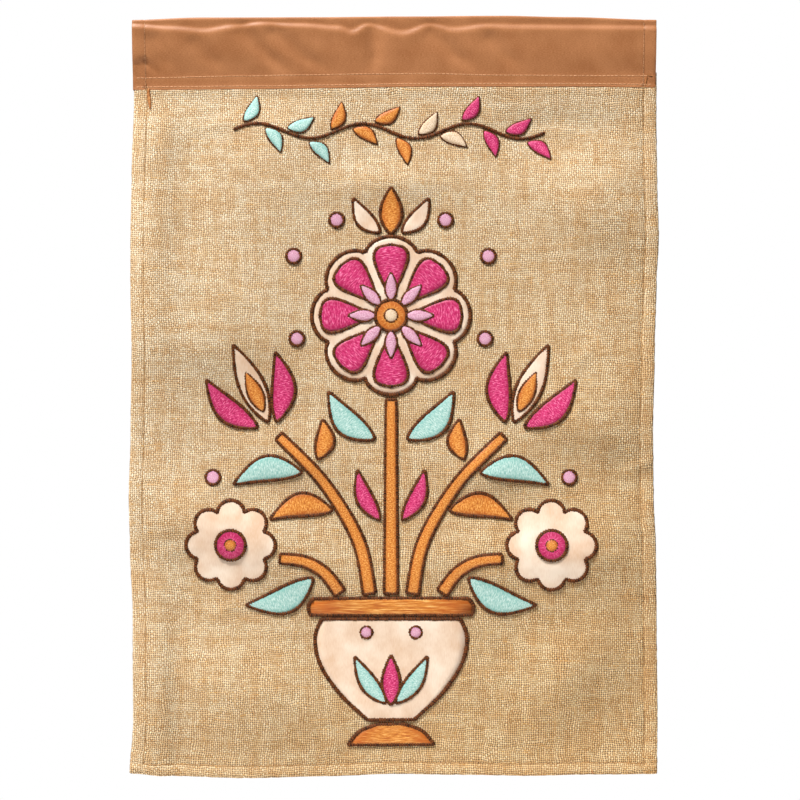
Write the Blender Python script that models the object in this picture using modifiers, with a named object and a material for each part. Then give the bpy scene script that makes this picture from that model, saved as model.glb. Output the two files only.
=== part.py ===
"""Garden flag: a burlap panel hung from a satin rod sleeve, with an appliqued and embroidered flower pot.

Metres, +Z up. The flag hangs in the XZ plane with its front towards -Y.
The origin is on the line of the rod that the sleeve slides over.
The tables are in millimetres, with a row for each fold, edge section or embroidered pad.
"""

import math
from collections import namedtuple

import bmesh
import bpy
from mathutils import Vector
from mathutils.bvhtree import BVHTree

MM = 0.001

# Driving sizes, in millimetres
PANEL_TOP = -28.5          # the burlap's cut edge, caught between the legs of the sleeve
SLEEVE_LINE = -38.0        # the lower edge of the sleeve, where the burlap comes into view
CLOTH_PITCH = 10.0         # spacing of the lines that shape the burlap
LATTICE_HALF = 140.0       # the even lines reach this far each side of the middle
LATTICE_TOP = -40.0
LATTICE_BOTTOM = -440.0
BURLAP_THICK = 1.3
HEM_THICK = 2.6            # the burlap turned to the back and sewn down
SIDE_HEM = 8.0
BOTTOM_HEM = 7.0
HEM_STEP = 0.8             # width over which a hem drops to the single cloth
FOLD_FADE = 26.0           # the folds grow from nothing over this drop below the sleeve
SATIN_THICK = 1.0
END_HEM_THICK = 1.5
END_HEM = 7.5
SLEEVE_HALF = 158.4        # the sleeve's ends, each side of the middle
SLEEVE_PITCH = 8.0         # spacing of the lines that shape the satin
SLEEVE_EVEN = 150.0        # the even lines start this far left of the middle
PAD_GAP = 0.35             # air between the burlap and what is sewn on it
APPLIQUE_THICK = 1.0
PAD_THICK = 1.2            # dense embroidery standing on the burlap
IN_FRONT = 100.0           # a plane well in front of the flag, from which shapes are laid on it
MOTIF_MIDDLE = -2.0        # the motif is centred a little left of the panel
LEAF_BELLY = 0.85          # below 1, a leaf is fullest nearer its foot
SCALLOP_ROUND = 0.6        # below 1, a flower's lobes are full and its notches sharp

# Height of the top of the sleeve along its length
TOP_EDGE = ((-160, 3.6), (-116, 4.9), (-45, 4.9), (0, 5.5), (65, 6.1), (105, 5.4), (160, 3.6))

# Lower edge of the sleeve along its length
SLEEVE_EDGE = ((-160, -39.0), (-76, -38.4), (-40, -37.8), (20, -36.9), (110, -36.9), (160, -37.4))

# Lower edge of the burlap along its length
BOTTOM_EDGE = ((-160, -453.2), (-140, -454.4), (-90, -455.6), (-40, -454.6), (0, -453.4), (40, -454.0),
               (80, -454.6), (120, -453.8), (160, -453.4))

# Side edges of the burlap, from the top down
Sides = namedtuple("Sides", "z left right")
SIDE_EDGES = (
    Sides(-28, -157.6, 158.2),
    Sides(-45, -157.6, 158.2),
    Sides(-94, -158.8, 159.1),
    Sides(-130, -159.4, 160.0),
    Sides(-155, -159.4, 158.8),
    Sides(-197, -158.8, 157.6),
    Sides(-245, -159.7, 156.3),
    Sides(-288, -160.6, 157.0),
    Sides(-318, -160.0, 158.2),
    Sides(-360, -158.2, 158.8),
    Sides(-420, -157.8, 159.4),
    Sides(-455, -160.0, 158.8),
)

# Soft folds of the burlap: middle, fall to the right in degrees, half length, half width on the upper and
# the lower side, height to the front
Fold = namedtuple("Fold", "x z fall reach above below height")
FOLDS = (
    Fold(-84, -314, 22, 76, 18, 21, 5.6),
    Fold(-88, -406, 20, 54, 27, 44, 8.0),
    Fold(-137, -304, 0, 14, 12, 12, 1.6),
    Fold(-146, -118, 90, 70, 14, 14, 5.0),
    Fold(-143, -402, 90, 62, 9, 16, 4.8),
    Fold(-112, -188, 0, 46, 80, 28, 7.6),
    Fold(-70, -82, 90, 42, 26, 36, 3.2),
    Fold(120, -110, 30, 38, 34, 22, 5.2),
    Fold(100, -62, 0, 50, 16, 30, -2.8),
    Fold(122, -244, 15, 42, 48, 16, 6.0),
    Fold(102, -322, -8, 56, 28, 27, 7.0),
    Fold(50, -322, 0, 30, 16, 16, 2.2),
    Fold(106, -392, -50, 34, 24, 22, 6.0),
    Fold(150, -448, 0, 20, 16, 16, 1.8),
    Fold(62, -272, 5, 24, 24, 12, 4.6),
    Fold(-60, -264, 0, 26, 18, 14, 2.4),
    Fold(-4, -96, 0, 42, 12, 12, 2.6),
)
HEM_KICK = 1.8             # the bottom hem leans to the front by this much
HEM_KICK_REACH = 9.0

# Half section of the sleeve, from the top down: share of its drop, distance from the middle plane
Section = namedtuple("Section", "share out")
SLEEVE_SECTION = (
    Section(0.000, 0.0),
    Section(0.012, 2.3),
    Section(0.055, 4.3),
    Section(0.120, 5.6),
    Section(0.200, 6.0),
    Section(0.330, 5.5),
    Section(0.500, 4.3),
    Section(0.660, 2.9),
    Section(0.790, 1.80),
    Section(0.860, 1.90),
    Section(0.930, 2.15),
    Section(1.000, 1.75),
)
ROLL_FROM, ROLL_TO = 0.05, 0.55   # the share of the drop that the roll line can shift
ROLL_MEAN = -2.0                  # the roll line's mean height, where the section is as in its table
ROLL_FOLLOW = 0.5                 # how far the section follows the roll line
SEAM_SHARE = 0.79                 # the upper stitch row, where the legs close on the burlap
SEAM_EASE = 0.2                   # the wrinkles die out over this share above it

# Drop of the sleeve's roll line along its length
ROLL_LINE = ((-160, -1.2), (-134, -2.7), (-115, -4.2), (-98, -1.8), (-80, 0.0), (-57, -0.9), (-33, -2.4),
             (-26, -4.8), (-16, -0.6), (5, -5.4), (22, -0.6), (36, -3.3), (56, -1.2), (76, -1.8), (160, -2.4))

# Drag wrinkles in the front of the sleeve: upper end, lower end, half width, depth
Wrinkle = namedtuple("Wrinkle", "x_top z_top x_low z_low width depth")
WRINKLES = (
    Wrinkle(-91, -4, -67, -28, 6, 0.9),
    Wrinkle(-72, -5, -44, -28, 7, 0.7),
    Wrinkle(-13, -4, -12, -29, 6, 0.8),
    Wrinkle(23, -4, 43, -25, 7, 0.9),
    Wrinkle(59, -8, 73, -25, 6, 0.7),
    Wrinkle(-146, -10, -139, -24, 7, 0.6),
)

# Pointed leaves and petals, one row for each on the right: foot, lean to the right in degrees, size, bow
Leaf = namedtuple("Leaf", "name x z lean length width bow paired material")
LEAVES = (
    Leaf("crown_middle", 0, -126.3, 0, 28, 13, 0, False, "orange"),
    Leaf("crown_side", 6.8, -125.6, 38, 26, 10, 2.5, True, "satin"),
    Leaf("tulip_heart", 74.5, -240.5, 24, 51, 15, 0, True, "satin"),
    Leaf("tulip_outer", 81.0, -243.8, 47, 42, 14, 4.5, True, "pink"),
    Leaf("tulip_inner", 69.2, -240.4, 1, 42, 14, -4.5, True, "pink"),
    Leaf("leaf_crown", 10, -251, 44, 40, 15, 5, True, "aqua"),
    Leaf("leaf_middle", 6.8, -300, 24, 33, 10, 3, True, "pink"),
    Leaf("leaf_tulip_in", 44, -263, -6, 24, 11, -3, True, "orange"),
    Leaf("leaf_tulip_out", 54, -271, 100, 42, 15, -6, True, "aqua"),
    Leaf("leaf_branch", 35.5, -294, 98, 38, 14, -6, True, "orange"),
    Leaf("leaf_daisy", 47, -335, 112, 44, 16, 6, True, "aqua"),
)

# Embroidered stems on the right: the points of the middle line, width at the foot and at the tip
Stem = namedtuple("Stem", "name route foot_width tip_width paired")
STEMS = (
    Stem("stem_middle", ((0, -344.5), (0, -286), (0, -227)), 8.0, 6.0, False),
    Stem("stem_upper", ((13, -344.5), (20, -312), (41, -277), (68, -249)), 7.5, 5.5, True),
    Stem("stem_lower", ((31, -344), (40, -332), (52, -325), (67, -323)), 7.0, 5.5, True),
)

# Round berries on the right
Berry = namedtuple("Berry", "x z radius")
BERRIES = (Berry(33, -118, 4.2), Berry(59, -140, 4.2), Berry(57, -190, 4.2), Berry(108, -274, 4.2))

# The flower pot, right half of each outline from the top down
BOWL_SIDE = ((42, -360), (46, -371), (43, -387), (31, -405), (14, -421))
RIM_SIDE = ((47, -347.5), (50, -352), (49, -357.5))
FOOT_SIDE = ((8, -424), (19, -428), (26, -436))

# Satin flower heads
ROSETTE_Z = -176.0
ROSETTE_RADIUS = 48.0
ROSETTE_NOTCH = 0.16       # depth of the notches between lobes, as a share of the radius
DAISY_X = 97.0
DAISY_Z = -315.0
DAISY_RADIUS = 27.0
DAISY_NOTCH = 0.24
FLOWER_LOBES = 8

# The garland over the motif: a wavy vine with a leaf above and below in turn
GARLAND_Z = -64.0
GARLAND_START = -99.0
GARLAND_END = 93.0
GARLAND_SWING = 4.5        # the vine's rise and fall about its middle
GARLAND_WAVE = 64.0
VINE_WIDTH = 2.4
VINE_STEP = 8.0
FIRST_LEAF = -91.0
LEAF_STEP = 13.23
LEAF_SPREAD = 46.0         # a leaf leans this many degrees off the vine
LEAF_OFFSET = 2.6          # its foot stands this far off the vine's middle line
GARLAND_LEAF = (17.0, 7.5, 2.0)
GARLAND_COLOURS = ("aqua",) * 4 + ("orange",) * 4 + ("satin",) * 2 + ("pink",) * 4

# Colour of each cloth and thread as a linear value, and its roughness
FINISHES = {
    "burlap": ((0.70, 0.51, 0.31), 0.92),
    "brown_satin": ((0.45, 0.17, 0.075), 0.42),
    "satin": ((0.86, 0.70, 0.53), 0.40),
    "pink": ((0.75, 0.055, 0.22), 0.45),
    "pale_pink": ((0.76, 0.40, 0.55), 0.45),
    "orange": ((0.74, 0.28, 0.055), 0.45),
    "aqua": ((0.36, 0.64, 0.58), 0.45),
    "brown": ((0.10, 0.04, 0.018), 0.50),
}


def read_along(rows, at):
    """The value at a place in a table of pairs, eased from row to row."""
    at = min(max(at, rows[0][0]), rows[-1][0])
    for (a, low), (b, high) in zip(rows, rows[1:]):
        if at <= b:
            t = (at - a) / (b - a)
            t = t * t * (3 - 2 * t)
            return low + (high - low) * t
    return rows[-1][1]


def smooth_route(points, steps):
    """Points of a smooth curve through the given ones."""
    route = []
    last = len(points) - 1
    for i in range(last):
        before, here = points[max(i - 1, 0)], points[i]
        there, after = points[i + 1], points[min(i + 2, last)]
        for k in range(steps):
            t = k / steps
            route.append(tuple(
                b + 0.5 * t * (c - a + t * (2 * a - 5 * b + 4 * c - d + t * (3 * b - a - 3 * c + d)))
                for a, b, c, d in zip(before, here, there, after)))
    route.append(points[-1])
    return route


def folds_at(x, z):
    """How far the burlap stands to the front at a point, in millimetres."""
    out = 0.0
    for fold in FOLDS:
        fall = math.radians(fold.fall)
        across, down = x - fold.x, fold.z - z
        along = across * math.cos(fall) + down * math.sin(fall)
        beside = down * math.cos(fall) - across * math.sin(fall)
        width = fold.above if beside < 0 else fold.below
        out += fold.height * math.exp(-(along / fold.reach) ** 2 - (beside / width) ** 2)
    fade = min(max((SLEEVE_LINE - z) / FOLD_FADE, 0.0), 1.0)
    out *= fade * fade * (3 - 2 * fade)
    edge = (z - read_along(BOTTOM_EDGE, x)) / HEM_KICK_REACH
    return out + HEM_KICK * math.exp(-edge * edge)


# Start from an empty file
for old in list(bpy.data.objects):
    bpy.data.objects.remove(old, do_unlink=True)

flag_parts = bpy.data.collections.new("garden_flag")
bpy.context.scene.collection.children.link(flag_parts)


def finish_for(kind):
    """The material of one kind of cloth or thread, made once."""
    material = bpy.data.materials.get(kind)
    if material is None:
        colour, roughness = FINISHES[kind]
        material = bpy.data.materials.new(kind)
        material.use_nodes = True
        shader = material.node_tree.nodes["Principled BSDF"]
        shader.inputs["Base Color"].default_value = (*colour, 1)
        shader.inputs["Roughness"].default_value = roughness
        shader.inputs["Metallic"].default_value = 0
    return material


def add_part(name, mesh, kind):
    mesh.materials.clear()
    mesh.materials.append(finish_for(kind))
    part = bpy.data.objects.new(name, mesh)
    flag_parts.objects.link(part)
    return part


def thicken(part, thickness, offset, thin_share=None):
    """Give a sheet its thickness; thin_share is the share left where the hem group has no weight."""
    wall = part.modifiers.new("thickness", "SOLIDIFY")
    wall.thickness = thickness * MM
    wall.offset = offset
    if thin_share is not None:
        wall.vertex_group = "hem"
        wall.thickness_vertex_group = thin_share


def cloth_grid(columns, rows, place, is_hem):
    """A sheet with one vertex for each column and row, triangulated the same way all over."""
    sheet = bmesh.new()
    bmesh.ops.create_grid(sheet, x_segments=columns - 1, y_segments=rows - 1, size=1.0)
    weights = sheet.verts.layers.deform.verify()
    for vert in sheet.verts:
        column = round((vert.co.x + 1) / 2 * (columns - 1))
        row = round((1 - vert.co.y) / 2 * (rows - 1))
        vert.co = Vector(place(column, row)) * MM
        if is_hem(column, row):
            vert[weights][0] = 1.0
    bmesh.ops.triangulate(sheet, faces=sheet.faces, quad_method="FIXED")
    return sheet


# The burlap panel: one cut cloth with its sides and foot turned to the back
even_columns = round(2 * LATTICE_HALF / CLOTH_PITCH) + 1
even_rows = round((LATTICE_TOP - LATTICE_BOTTOM) / CLOTH_PITCH) + 1
PANEL_COLUMNS = even_columns + 6
PANEL_ROWS = even_rows + 4


LEFT_SIDE = [(-row.z, row.left) for row in SIDE_EDGES]
RIGHT_SIDE = [(-row.z, row.right) for row in SIDE_EDGES]
FROM_SIDE = (0.0, SIDE_HEM, SIDE_HEM + HEM_STEP)
FROM_FOOT = (0.0, BOTTOM_HEM, BOTTOM_HEM + HEM_STEP)


def panel_point(column, row):
    """The front of the burlap at one crossing of its shaping lines."""
    from_left, from_right = column, PANEL_COLUMNS - 1 - column
    from_foot = PANEL_ROWS - 1 - row
    z = PANEL_TOP if row == 0 else LATTICE_TOP - CLOTH_PITCH * (row - 1)
    if from_left < 3:
        x = read_along(LEFT_SIDE, -z) + FROM_SIDE[from_left]
    elif from_right < 3:
        x = read_along(RIGHT_SIDE, -z) - FROM_SIDE[from_right]
    else:
        x = CLOTH_PITCH * (column - 3) - LATTICE_HALF
    if from_foot < 3:
        z = read_along(BOTTOM_EDGE, x) + FROM_FOOT[from_foot]
    return x, -folds_at(x, z) - BURLAP_THICK / 2, z


def in_panel_hem(column, row):
    below_sleeve = row >= 2
    at_side = column < 2 or column >= PANEL_COLUMNS - 2
    at_foot = row >= PANEL_ROWS - 2
    return below_sleeve and (at_side or at_foot)


panel_sheet = cloth_grid(PANEL_COLUMNS, PANEL_ROWS, panel_point, in_panel_hem)
bmesh.ops.recalc_face_normals(panel_sheet, faces=panel_sheet.faces)
if panel_sheet.faces[0].normal.y > 0:
    bmesh.ops.reverse_faces(panel_sheet, faces=panel_sheet.faces)
burlap_front = BVHTree.FromBMesh(panel_sheet)
panel_mesh = bpy.data.meshes.new("panel")
panel_sheet.to_mesh(panel_mesh)
panel_sheet.free()
panel = add_part("panel", panel_mesh, "burlap")
panel.vertex_groups.new(name="hem")
thicken(panel, HEM_THICK, -1.0, BURLAP_THICK / HEM_THICK)

# The rod sleeve: one satin strip folded over the rod line, its two legs closed on the burlap
sleeve_lines = [SLEEVE_PITCH * i - SLEEVE_EVEN for i in range(int(2 * SLEEVE_EVEN / SLEEVE_PITCH) + 1)]
half_rows = len(SLEEVE_SECTION)
SLEEVE_COLUMNS = len(sleeve_lines) + 4
SLEEVE_ROWS = 2 * half_rows - 1


def wrinkles_at(x, z):
    """Depth of the drag wrinkles at a point of the sleeve's front."""
    deep = 0.0
    for fold in WRINKLES:
        run, drop = fold.x_low - fold.x_top, fold.z_low - fold.z_top
        length = math.hypot(run, drop)
        along = ((x - fold.x_top) * run + (z - fold.z_top) * drop) / length
        beside = ((x - fold.x_top) * drop - (z - fold.z_top) * run) / length
        past_end = max(-along, along - length, 0.0)
        deep += fold.depth * math.exp(-((beside / fold.width) ** 2) - (past_end / fold.width) ** 2)
    return deep


def sleeve_point(column, row):
    lines_left = (-SLEEVE_HALF, END_HEM - SLEEVE_HALF)
    if column < 2:
        x = lines_left[column]
    elif column >= SLEEVE_COLUMNS - 2:
        x = -lines_left[SLEEVE_COLUMNS - 1 - column]
    else:
        x = sleeve_lines[column - 2]
    front = row >= half_rows - 1
    section = SLEEVE_SECTION[abs(row - (half_rows - 1))]
    top = read_along(TOP_EDGE, x)
    low = read_along(SLEEVE_EDGE, x)
    z = top + (low - top) * section.share
    if ROLL_FROM < section.share < ROLL_TO:
        swell = math.sin(math.pi * (section.share - ROLL_FROM) / (ROLL_TO - ROLL_FROM))
        z += ROLL_FOLLOW * swell * (read_along(ROLL_LINE, x) - ROLL_MEAN)
    if front:
        slack = min(max((SEAM_SHARE - section.share) / SEAM_EASE, 0.0), 1.0)
        return x, -(section.out - wrinkles_at(x, z) * slack), z
    return x, section.out, z


def in_end_hem(column, row):
    return column < 2 or column >= SLEEVE_COLUMNS - 2


sleeve_sheet = cloth_grid(SLEEVE_COLUMNS, SLEEVE_ROWS, sleeve_point, in_end_hem)
bmesh.ops.recalc_face_normals(sleeve_sheet, faces=sleeve_sheet.faces)
sleeve_mesh = bpy.data.meshes.new("sleeve")
sleeve_sheet.to_mesh(sleeve_mesh)
sleeve_sheet.free()
sleeve = add_part("sleeve", sleeve_mesh, "brown_satin")
sleeve.vertex_groups.new(name="hem")
thicken(sleeve, END_HEM_THICK, 0.0, SATIN_THICK / END_HEM_THICK)


# Flat outlines, in millimetres, as lists of points across and up
def leaf_outline(length, width, bow, steps=7):
    right, left = [], []
    for i in range(steps + 1):
        share = i / steps
        half = width / 2 * math.sin(math.pi * share ** LEAF_BELLY)
        middle = bow * math.sin(math.pi * share)
        right.append((middle + half, share * length))
        left.append((middle - half, share * length))
    return right + left[-2:0:-1]


def round_outline(radius, steps=12):
    turns = [2 * math.pi * i / steps for i in range(steps)]
    return [(radius * math.sin(turn), radius * math.cos(turn)) for turn in turns]


def scalloped_outline(radius, lobes, notch, steps=6):
    outline = []
    for i in range(lobes * steps):
        turn = 2 * math.pi * i / (lobes * steps)
        bulge = abs(math.cos(lobes * turn / 2)) ** SCALLOP_ROUND
        reach = radius * (1 - notch + notch * bulge)
        outline.append((reach * math.sin(turn), reach * math.cos(turn)))
    return outline


def band_outline(route, foot_width, tip_width, steps=5):
    middle = smooth_route(route, steps)
    left, right = [], []
    for i, (x, z) in enumerate(middle):
        ahead = Vector(middle[min(i + 1, len(middle) - 1)])
        behind = Vector(middle[max(i - 1, 0)])
        heading = (ahead - behind).normalized()
        half = (foot_width + (tip_width - foot_width) * i / (len(middle) - 1)) / 2
        left.append((x - heading.y * half, z + heading.x * half))
        right.append((x + heading.y * half, z - heading.x * half))
    return left + right[::-1]


def both_halves(side, steps=3):
    right = smooth_route(side, steps)
    return right + [(-x, z) for x, z in reversed(right)]


def placed(outline, x, z, lean=0.0):
    """An outline turned to its lean, with its foot at a point."""
    turn = math.radians(lean)
    return [(x + u * math.cos(turn) + v * math.sin(turn),
             z - u * math.sin(turn) + v * math.cos(turn)) for u, v in outline]


def cut_on_line(pad, point, normal):
    bmesh.ops.bisect_plane(pad, geom=pad.verts[:] + pad.edges[:] + pad.faces[:], dist=1e-6,
                           plane_co=point, plane_no=normal)


def sewn_pad(name, outline, kind, thickness):
    """A flat shape cut along the burlap's shaping lines, laid on its front and thickened outwards."""
    shape = bpy.data.curves.new(name, "CURVE")
    shape.dimensions = "2D"
    shape.fill_mode = "BOTH"
    edge = shape.splines.new("POLY")
    edge.points.add(len(outline) - 1)
    for point, (x, z) in zip(edge.points, outline):
        point.co = (x * MM, z * MM, 0, 1)
    edge.use_cyclic_u = True
    flat = bpy.data.objects.new(name + "_outline", shape)
    bpy.context.scene.collection.objects.link(flat)
    bpy.context.view_layer.update()
    drawn = flat.evaluated_get(bpy.context.evaluated_depsgraph_get())
    flat_mesh = bpy.data.meshes.new_from_object(drawn)
    bpy.data.objects.remove(flat, do_unlink=True)

    pad = bmesh.new()
    pad.from_mesh(flat_mesh)
    bpy.data.meshes.remove(flat_mesh)
    bmesh.ops.remove_doubles(pad, verts=pad.verts, dist=0.01 * MM)
    bmesh.ops.dissolve_limit(pad, angle_limit=0.01, verts=pad.verts, edges=pad.edges)
    reach_x = [x for x, z in outline]
    reach_z = [z for x, z in outline]
    first, last = math.floor(min(reach_x) / CLOTH_PITCH), math.ceil(max(reach_x) / CLOTH_PITCH)
    for i in range(first, last + 1):
        cut_on_line(pad, (i * CLOTH_PITCH * MM, 0, 0), (1, 0, 0))
    low, high = math.floor(min(reach_z) / CLOTH_PITCH), math.ceil(max(reach_z) / CLOTH_PITCH)
    for i in range(low, high + 1):
        cut_on_line(pad, (0, i * CLOTH_PITCH * MM, 0), (0, 1, 0))
    for i in range(first - high, last - low + 1):
        cut_on_line(pad, (i * CLOTH_PITCH * MM, 0, 0), (1, 1, 0))
    for vert in pad.verts:
        x, z = vert.co.x, vert.co.y
        hit = burlap_front.ray_cast(Vector((x, -IN_FRONT * MM, z)), Vector((0, 1, 0)))[0]
        vert.co = (x, hit.y - PAD_GAP * MM, z)
    for face in pad.faces:
        face.normal_update()
        if face.normal.y > 0:
            face.normal_flip()
    mesh = bpy.data.meshes.new(name)
    pad.to_mesh(mesh)
    pad.free()
    thicken(add_part(name, mesh, kind), thickness, 1.0)


def sew_middle(name, outline, kind, thickness):
    """A shape set out from the motif's middle line."""
    sewn_pad(name, [(MOTIF_MIDDLE + x, z) for x, z in outline], kind, thickness)


def sew_pair(name, outline, kind, thickness):
    """The same shape on the right and, mirrored, on the left of the motif's middle line."""
    sew_middle(name + "_right", outline, kind, thickness)
    sew_middle(name + "_left", [(-x, z) for x, z in outline], kind, thickness)


# The cut satin pieces: pot, rosette and daisies
rosette = scalloped_outline(ROSETTE_RADIUS, FLOWER_LOBES, ROSETTE_NOTCH)
daisy = scalloped_outline(DAISY_RADIUS, FLOWER_LOBES, DAISY_NOTCH)
sew_middle("pot", both_halves(BOWL_SIDE), "satin", APPLIQUE_THICK)
sew_middle("rosette", placed(rosette, 0, ROSETTE_Z), "satin", APPLIQUE_THICK)
sew_pair("daisy", placed(daisy, DAISY_X, DAISY_Z), "satin", APPLIQUE_THICK)

# The embroidered pads of the motif
sew_middle("pot_rim", both_halves(RIM_SIDE), "orange", PAD_THICK)
sew_middle("pot_foot", both_halves(FOOT_SIDE), "orange", PAD_THICK)
for stem in STEMS:
    sew = sew_pair if stem.paired else sew_middle
    sew(stem.name, band_outline(stem.route, stem.foot_width, stem.tip_width), "orange", PAD_THICK)
for leaf in LEAVES:
    sew = sew_pair if leaf.paired else sew_middle
    shape = leaf_outline(leaf.length, leaf.width, leaf.bow)
    sew(leaf.name, placed(shape, leaf.x, leaf.z, leaf.lean), leaf.material, PAD_THICK)
for number, berry in enumerate(BERRIES, start=1):
    sew_pair(f"berry_{number}", placed(round_outline(berry.radius), berry.x, berry.z), "pale_pink", PAD_THICK)


def vine_height(x):
    return GARLAND_Z + GARLAND_SWING * math.sin(2 * math.pi * (x - GARLAND_START) / GARLAND_WAVE)


# The garland: its vine, then its leaves turned to the slope of the vine
vine_steps = round((GARLAND_END - GARLAND_START) / VINE_STEP)
vine_places = [GARLAND_START + VINE_STEP * i for i in range(vine_steps + 1)]
vine = [(x, vine_height(x)) for x in vine_places]
sewn_pad("garland_vine", band_outline(vine, VINE_WIDTH, VINE_WIDTH, steps=1), "brown", PAD_THICK)
for number, colour in enumerate(GARLAND_COLOURS):
    x = FIRST_LEAF + LEAF_STEP * number
    slope = math.atan(vine_height(x + 0.5) - vine_height(x - 0.5))
    side = 1 if number % 2 == 0 else -1
    lean = 90 - math.degrees(slope) - side * LEAF_SPREAD
    length, width, bow = GARLAND_LEAF
    shape = leaf_outline(length, width, side * bow, steps=5)
    sewn_pad(f"garland_leaf_{number + 1}", placed(shape, x, vine_height(x) + side * LEAF_OFFSET, lean),
             colour, PAD_THICK)
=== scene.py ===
"""Garden flag: the cloth, satin and thread of a burlap flag that hangs from its rod sleeve.

Places and sizes are in millimetres: across from the rod line's middle, up from the rod line. MM turns
them to metres where a mesh is made. The front of the flag faces -Y.
"""

import math
import random
from collections import namedtuple

import bmesh
import bpy
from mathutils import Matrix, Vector, noise


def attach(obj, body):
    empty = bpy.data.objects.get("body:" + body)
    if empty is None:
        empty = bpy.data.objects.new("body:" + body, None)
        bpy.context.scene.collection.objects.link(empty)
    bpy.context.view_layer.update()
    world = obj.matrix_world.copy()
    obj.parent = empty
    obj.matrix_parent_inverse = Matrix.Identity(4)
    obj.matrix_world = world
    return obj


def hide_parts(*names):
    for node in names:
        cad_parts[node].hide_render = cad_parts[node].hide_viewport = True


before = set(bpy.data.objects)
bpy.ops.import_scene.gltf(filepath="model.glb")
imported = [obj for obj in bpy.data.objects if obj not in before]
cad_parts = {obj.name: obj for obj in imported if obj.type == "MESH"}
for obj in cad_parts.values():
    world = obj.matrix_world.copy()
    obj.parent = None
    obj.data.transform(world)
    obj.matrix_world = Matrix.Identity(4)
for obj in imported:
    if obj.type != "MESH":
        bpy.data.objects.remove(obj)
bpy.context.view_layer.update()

# The burlap panel: polyester burlap in plain weave, cut as one cloth with its top edge caught in the
# sleeve. Its sides and then its foot are turned once to the back and sewn down. It hangs in soft folds.
MM = 0.001
PANEL_TOP = -28.5
PANEL_FOOT = -454.3        # the mean height of the foot, from which the cloth is measured
PANEL_HALF = 158.7         # half of the finished width, measured along the cloth
PANEL_PITCH = 2.2          # spacing of the lines that carry the cloth's shape
SLEEVE_LINE = -38.0        # the sleeve's lower edge, where the burlap comes into view
SOLID_FRONT = 0.65         # the front of the burlap stands this far before the sleeve's middle plane
BURLAP_THICK = 0.9
LAYER_PITCH = 1.0          # from one layer of a turned hem to the next
SIDE_HEM, BOTTOM_HEM = 8.0, 7.0
HEM_ALLOWANCE = 1.6        # the cut edge lies this far past the stitches
CORNER_LAYERS, CORNER_EASE = 3, 14.0
HEM_PUFF = 0.12            # the hem swells between its fold and its stitches
STITCH_DIP, STITCH_DIP_WIDTH = 0.35, 0.9
RELIEF_FROM, RELIEF_TO = -1.0, 4.0   # the hems' relief starts over this distance below the sleeve
# Where a hem has lines across it, as shares of its width, on the part turned in and on the front, and
# how far past its stitches the last one lies
FLAP_SHARES, FRONT_SHARES, PAST_STITCHES = (0.72, 0.45, 0.22), (0.3, 0.55, 0.78), 2.6
FOLD_FADE = 26.0           # the folds fade out this far under the sleeve
FOOT_EASE_FROM, FOOT_EASE_TO = 74, 14   # over these heights the cloth takes up the foot's wavy edge
# It swells a little where it comes out from under the sleeve: height, distance below it, and width
EMERGE, EMERGE_DROP, EMERGE_WIDTH = 0.60, 1.0, 2.5
HEM_KICK, HEM_KICK_REACH = 1.8, 9.0
RELIEF = ((0.55, 30.0), (0.16, 10.0))   # height and spread of the small unevenness of hanging burlap
EDGE_WAVER, EDGE_WAVER_LENGTH = 0.3, 4.0

BOTTOM_EDGE = ((-160, -453.2), (-140, -454.4), (-90, -455.6), (-40, -454.6), (0, -453.4), (40, -454.0),
               (80, -454.6), (120, -453.8), (160, -453.4))
Sides = namedtuple("Sides", "z left right")
SIDE_EDGES = (
    Sides(-28, -157.6, 158.9),
    Sides(-45, -157.6, 158.7),
    Sides(-94, -158.8, 159.1),
    Sides(-130, -159.4, 160.0),
    Sides(-155, -159.4, 158.8),
    Sides(-197, -158.8, 157.6),
    Sides(-245, -159.7, 156.3),
    Sides(-288, -160.6, 157.0),
    Sides(-318, -160.0, 158.2),
    Sides(-360, -158.2, 158.8),
    Sides(-420, -157.8, 159.4),
    Sides(-455, -160.0, 158.8),
)
# Folds: middle, fall to the right in degrees, half length, half width on the upper and the lower side,
# height to the front
Fold = namedtuple("Fold", "x z fall reach above below height")
FOLDS = (
    Fold(-84, -314, 22, 76, 18, 21, 5.6),
    Fold(-88, -406, 20, 54, 27, 44, 8.0),
    Fold(-137, -304, 0, 14, 12, 12, 1.6),
    Fold(-146, -118, 90, 70, 14, 14, 5.0),
    Fold(-143, -402, 90, 62, 9, 16, 4.8),
    Fold(-112, -188, 0, 46, 80, 28, 7.6),
    Fold(-70, -82, 90, 42, 26, 36, 3.2),
    Fold(120, -110, 30, 38, 34, 22, 5.2),
    Fold(100, -62, 0, 50, 16, 30, -2.8),
    Fold(122, -244, 15, 42, 48, 16, 6.0),
    Fold(102, -322, -8, 56, 28, 27, 7.0),
    Fold(50, -322, 0, 30, 16, 16, 2.2),
    Fold(106, -392, -50, 34, 24, 22, 6.0),
    Fold(150, -448, 0, 20, 16, 16, 1.8),
    Fold(62, -272, 5, 24, 24, 12, 4.6),
    Fold(-60, -264, 0, 26, 18, 14, 2.4),
    Fold(-4, -96, 0, 42, 12, 12, 2.6),
)
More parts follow.
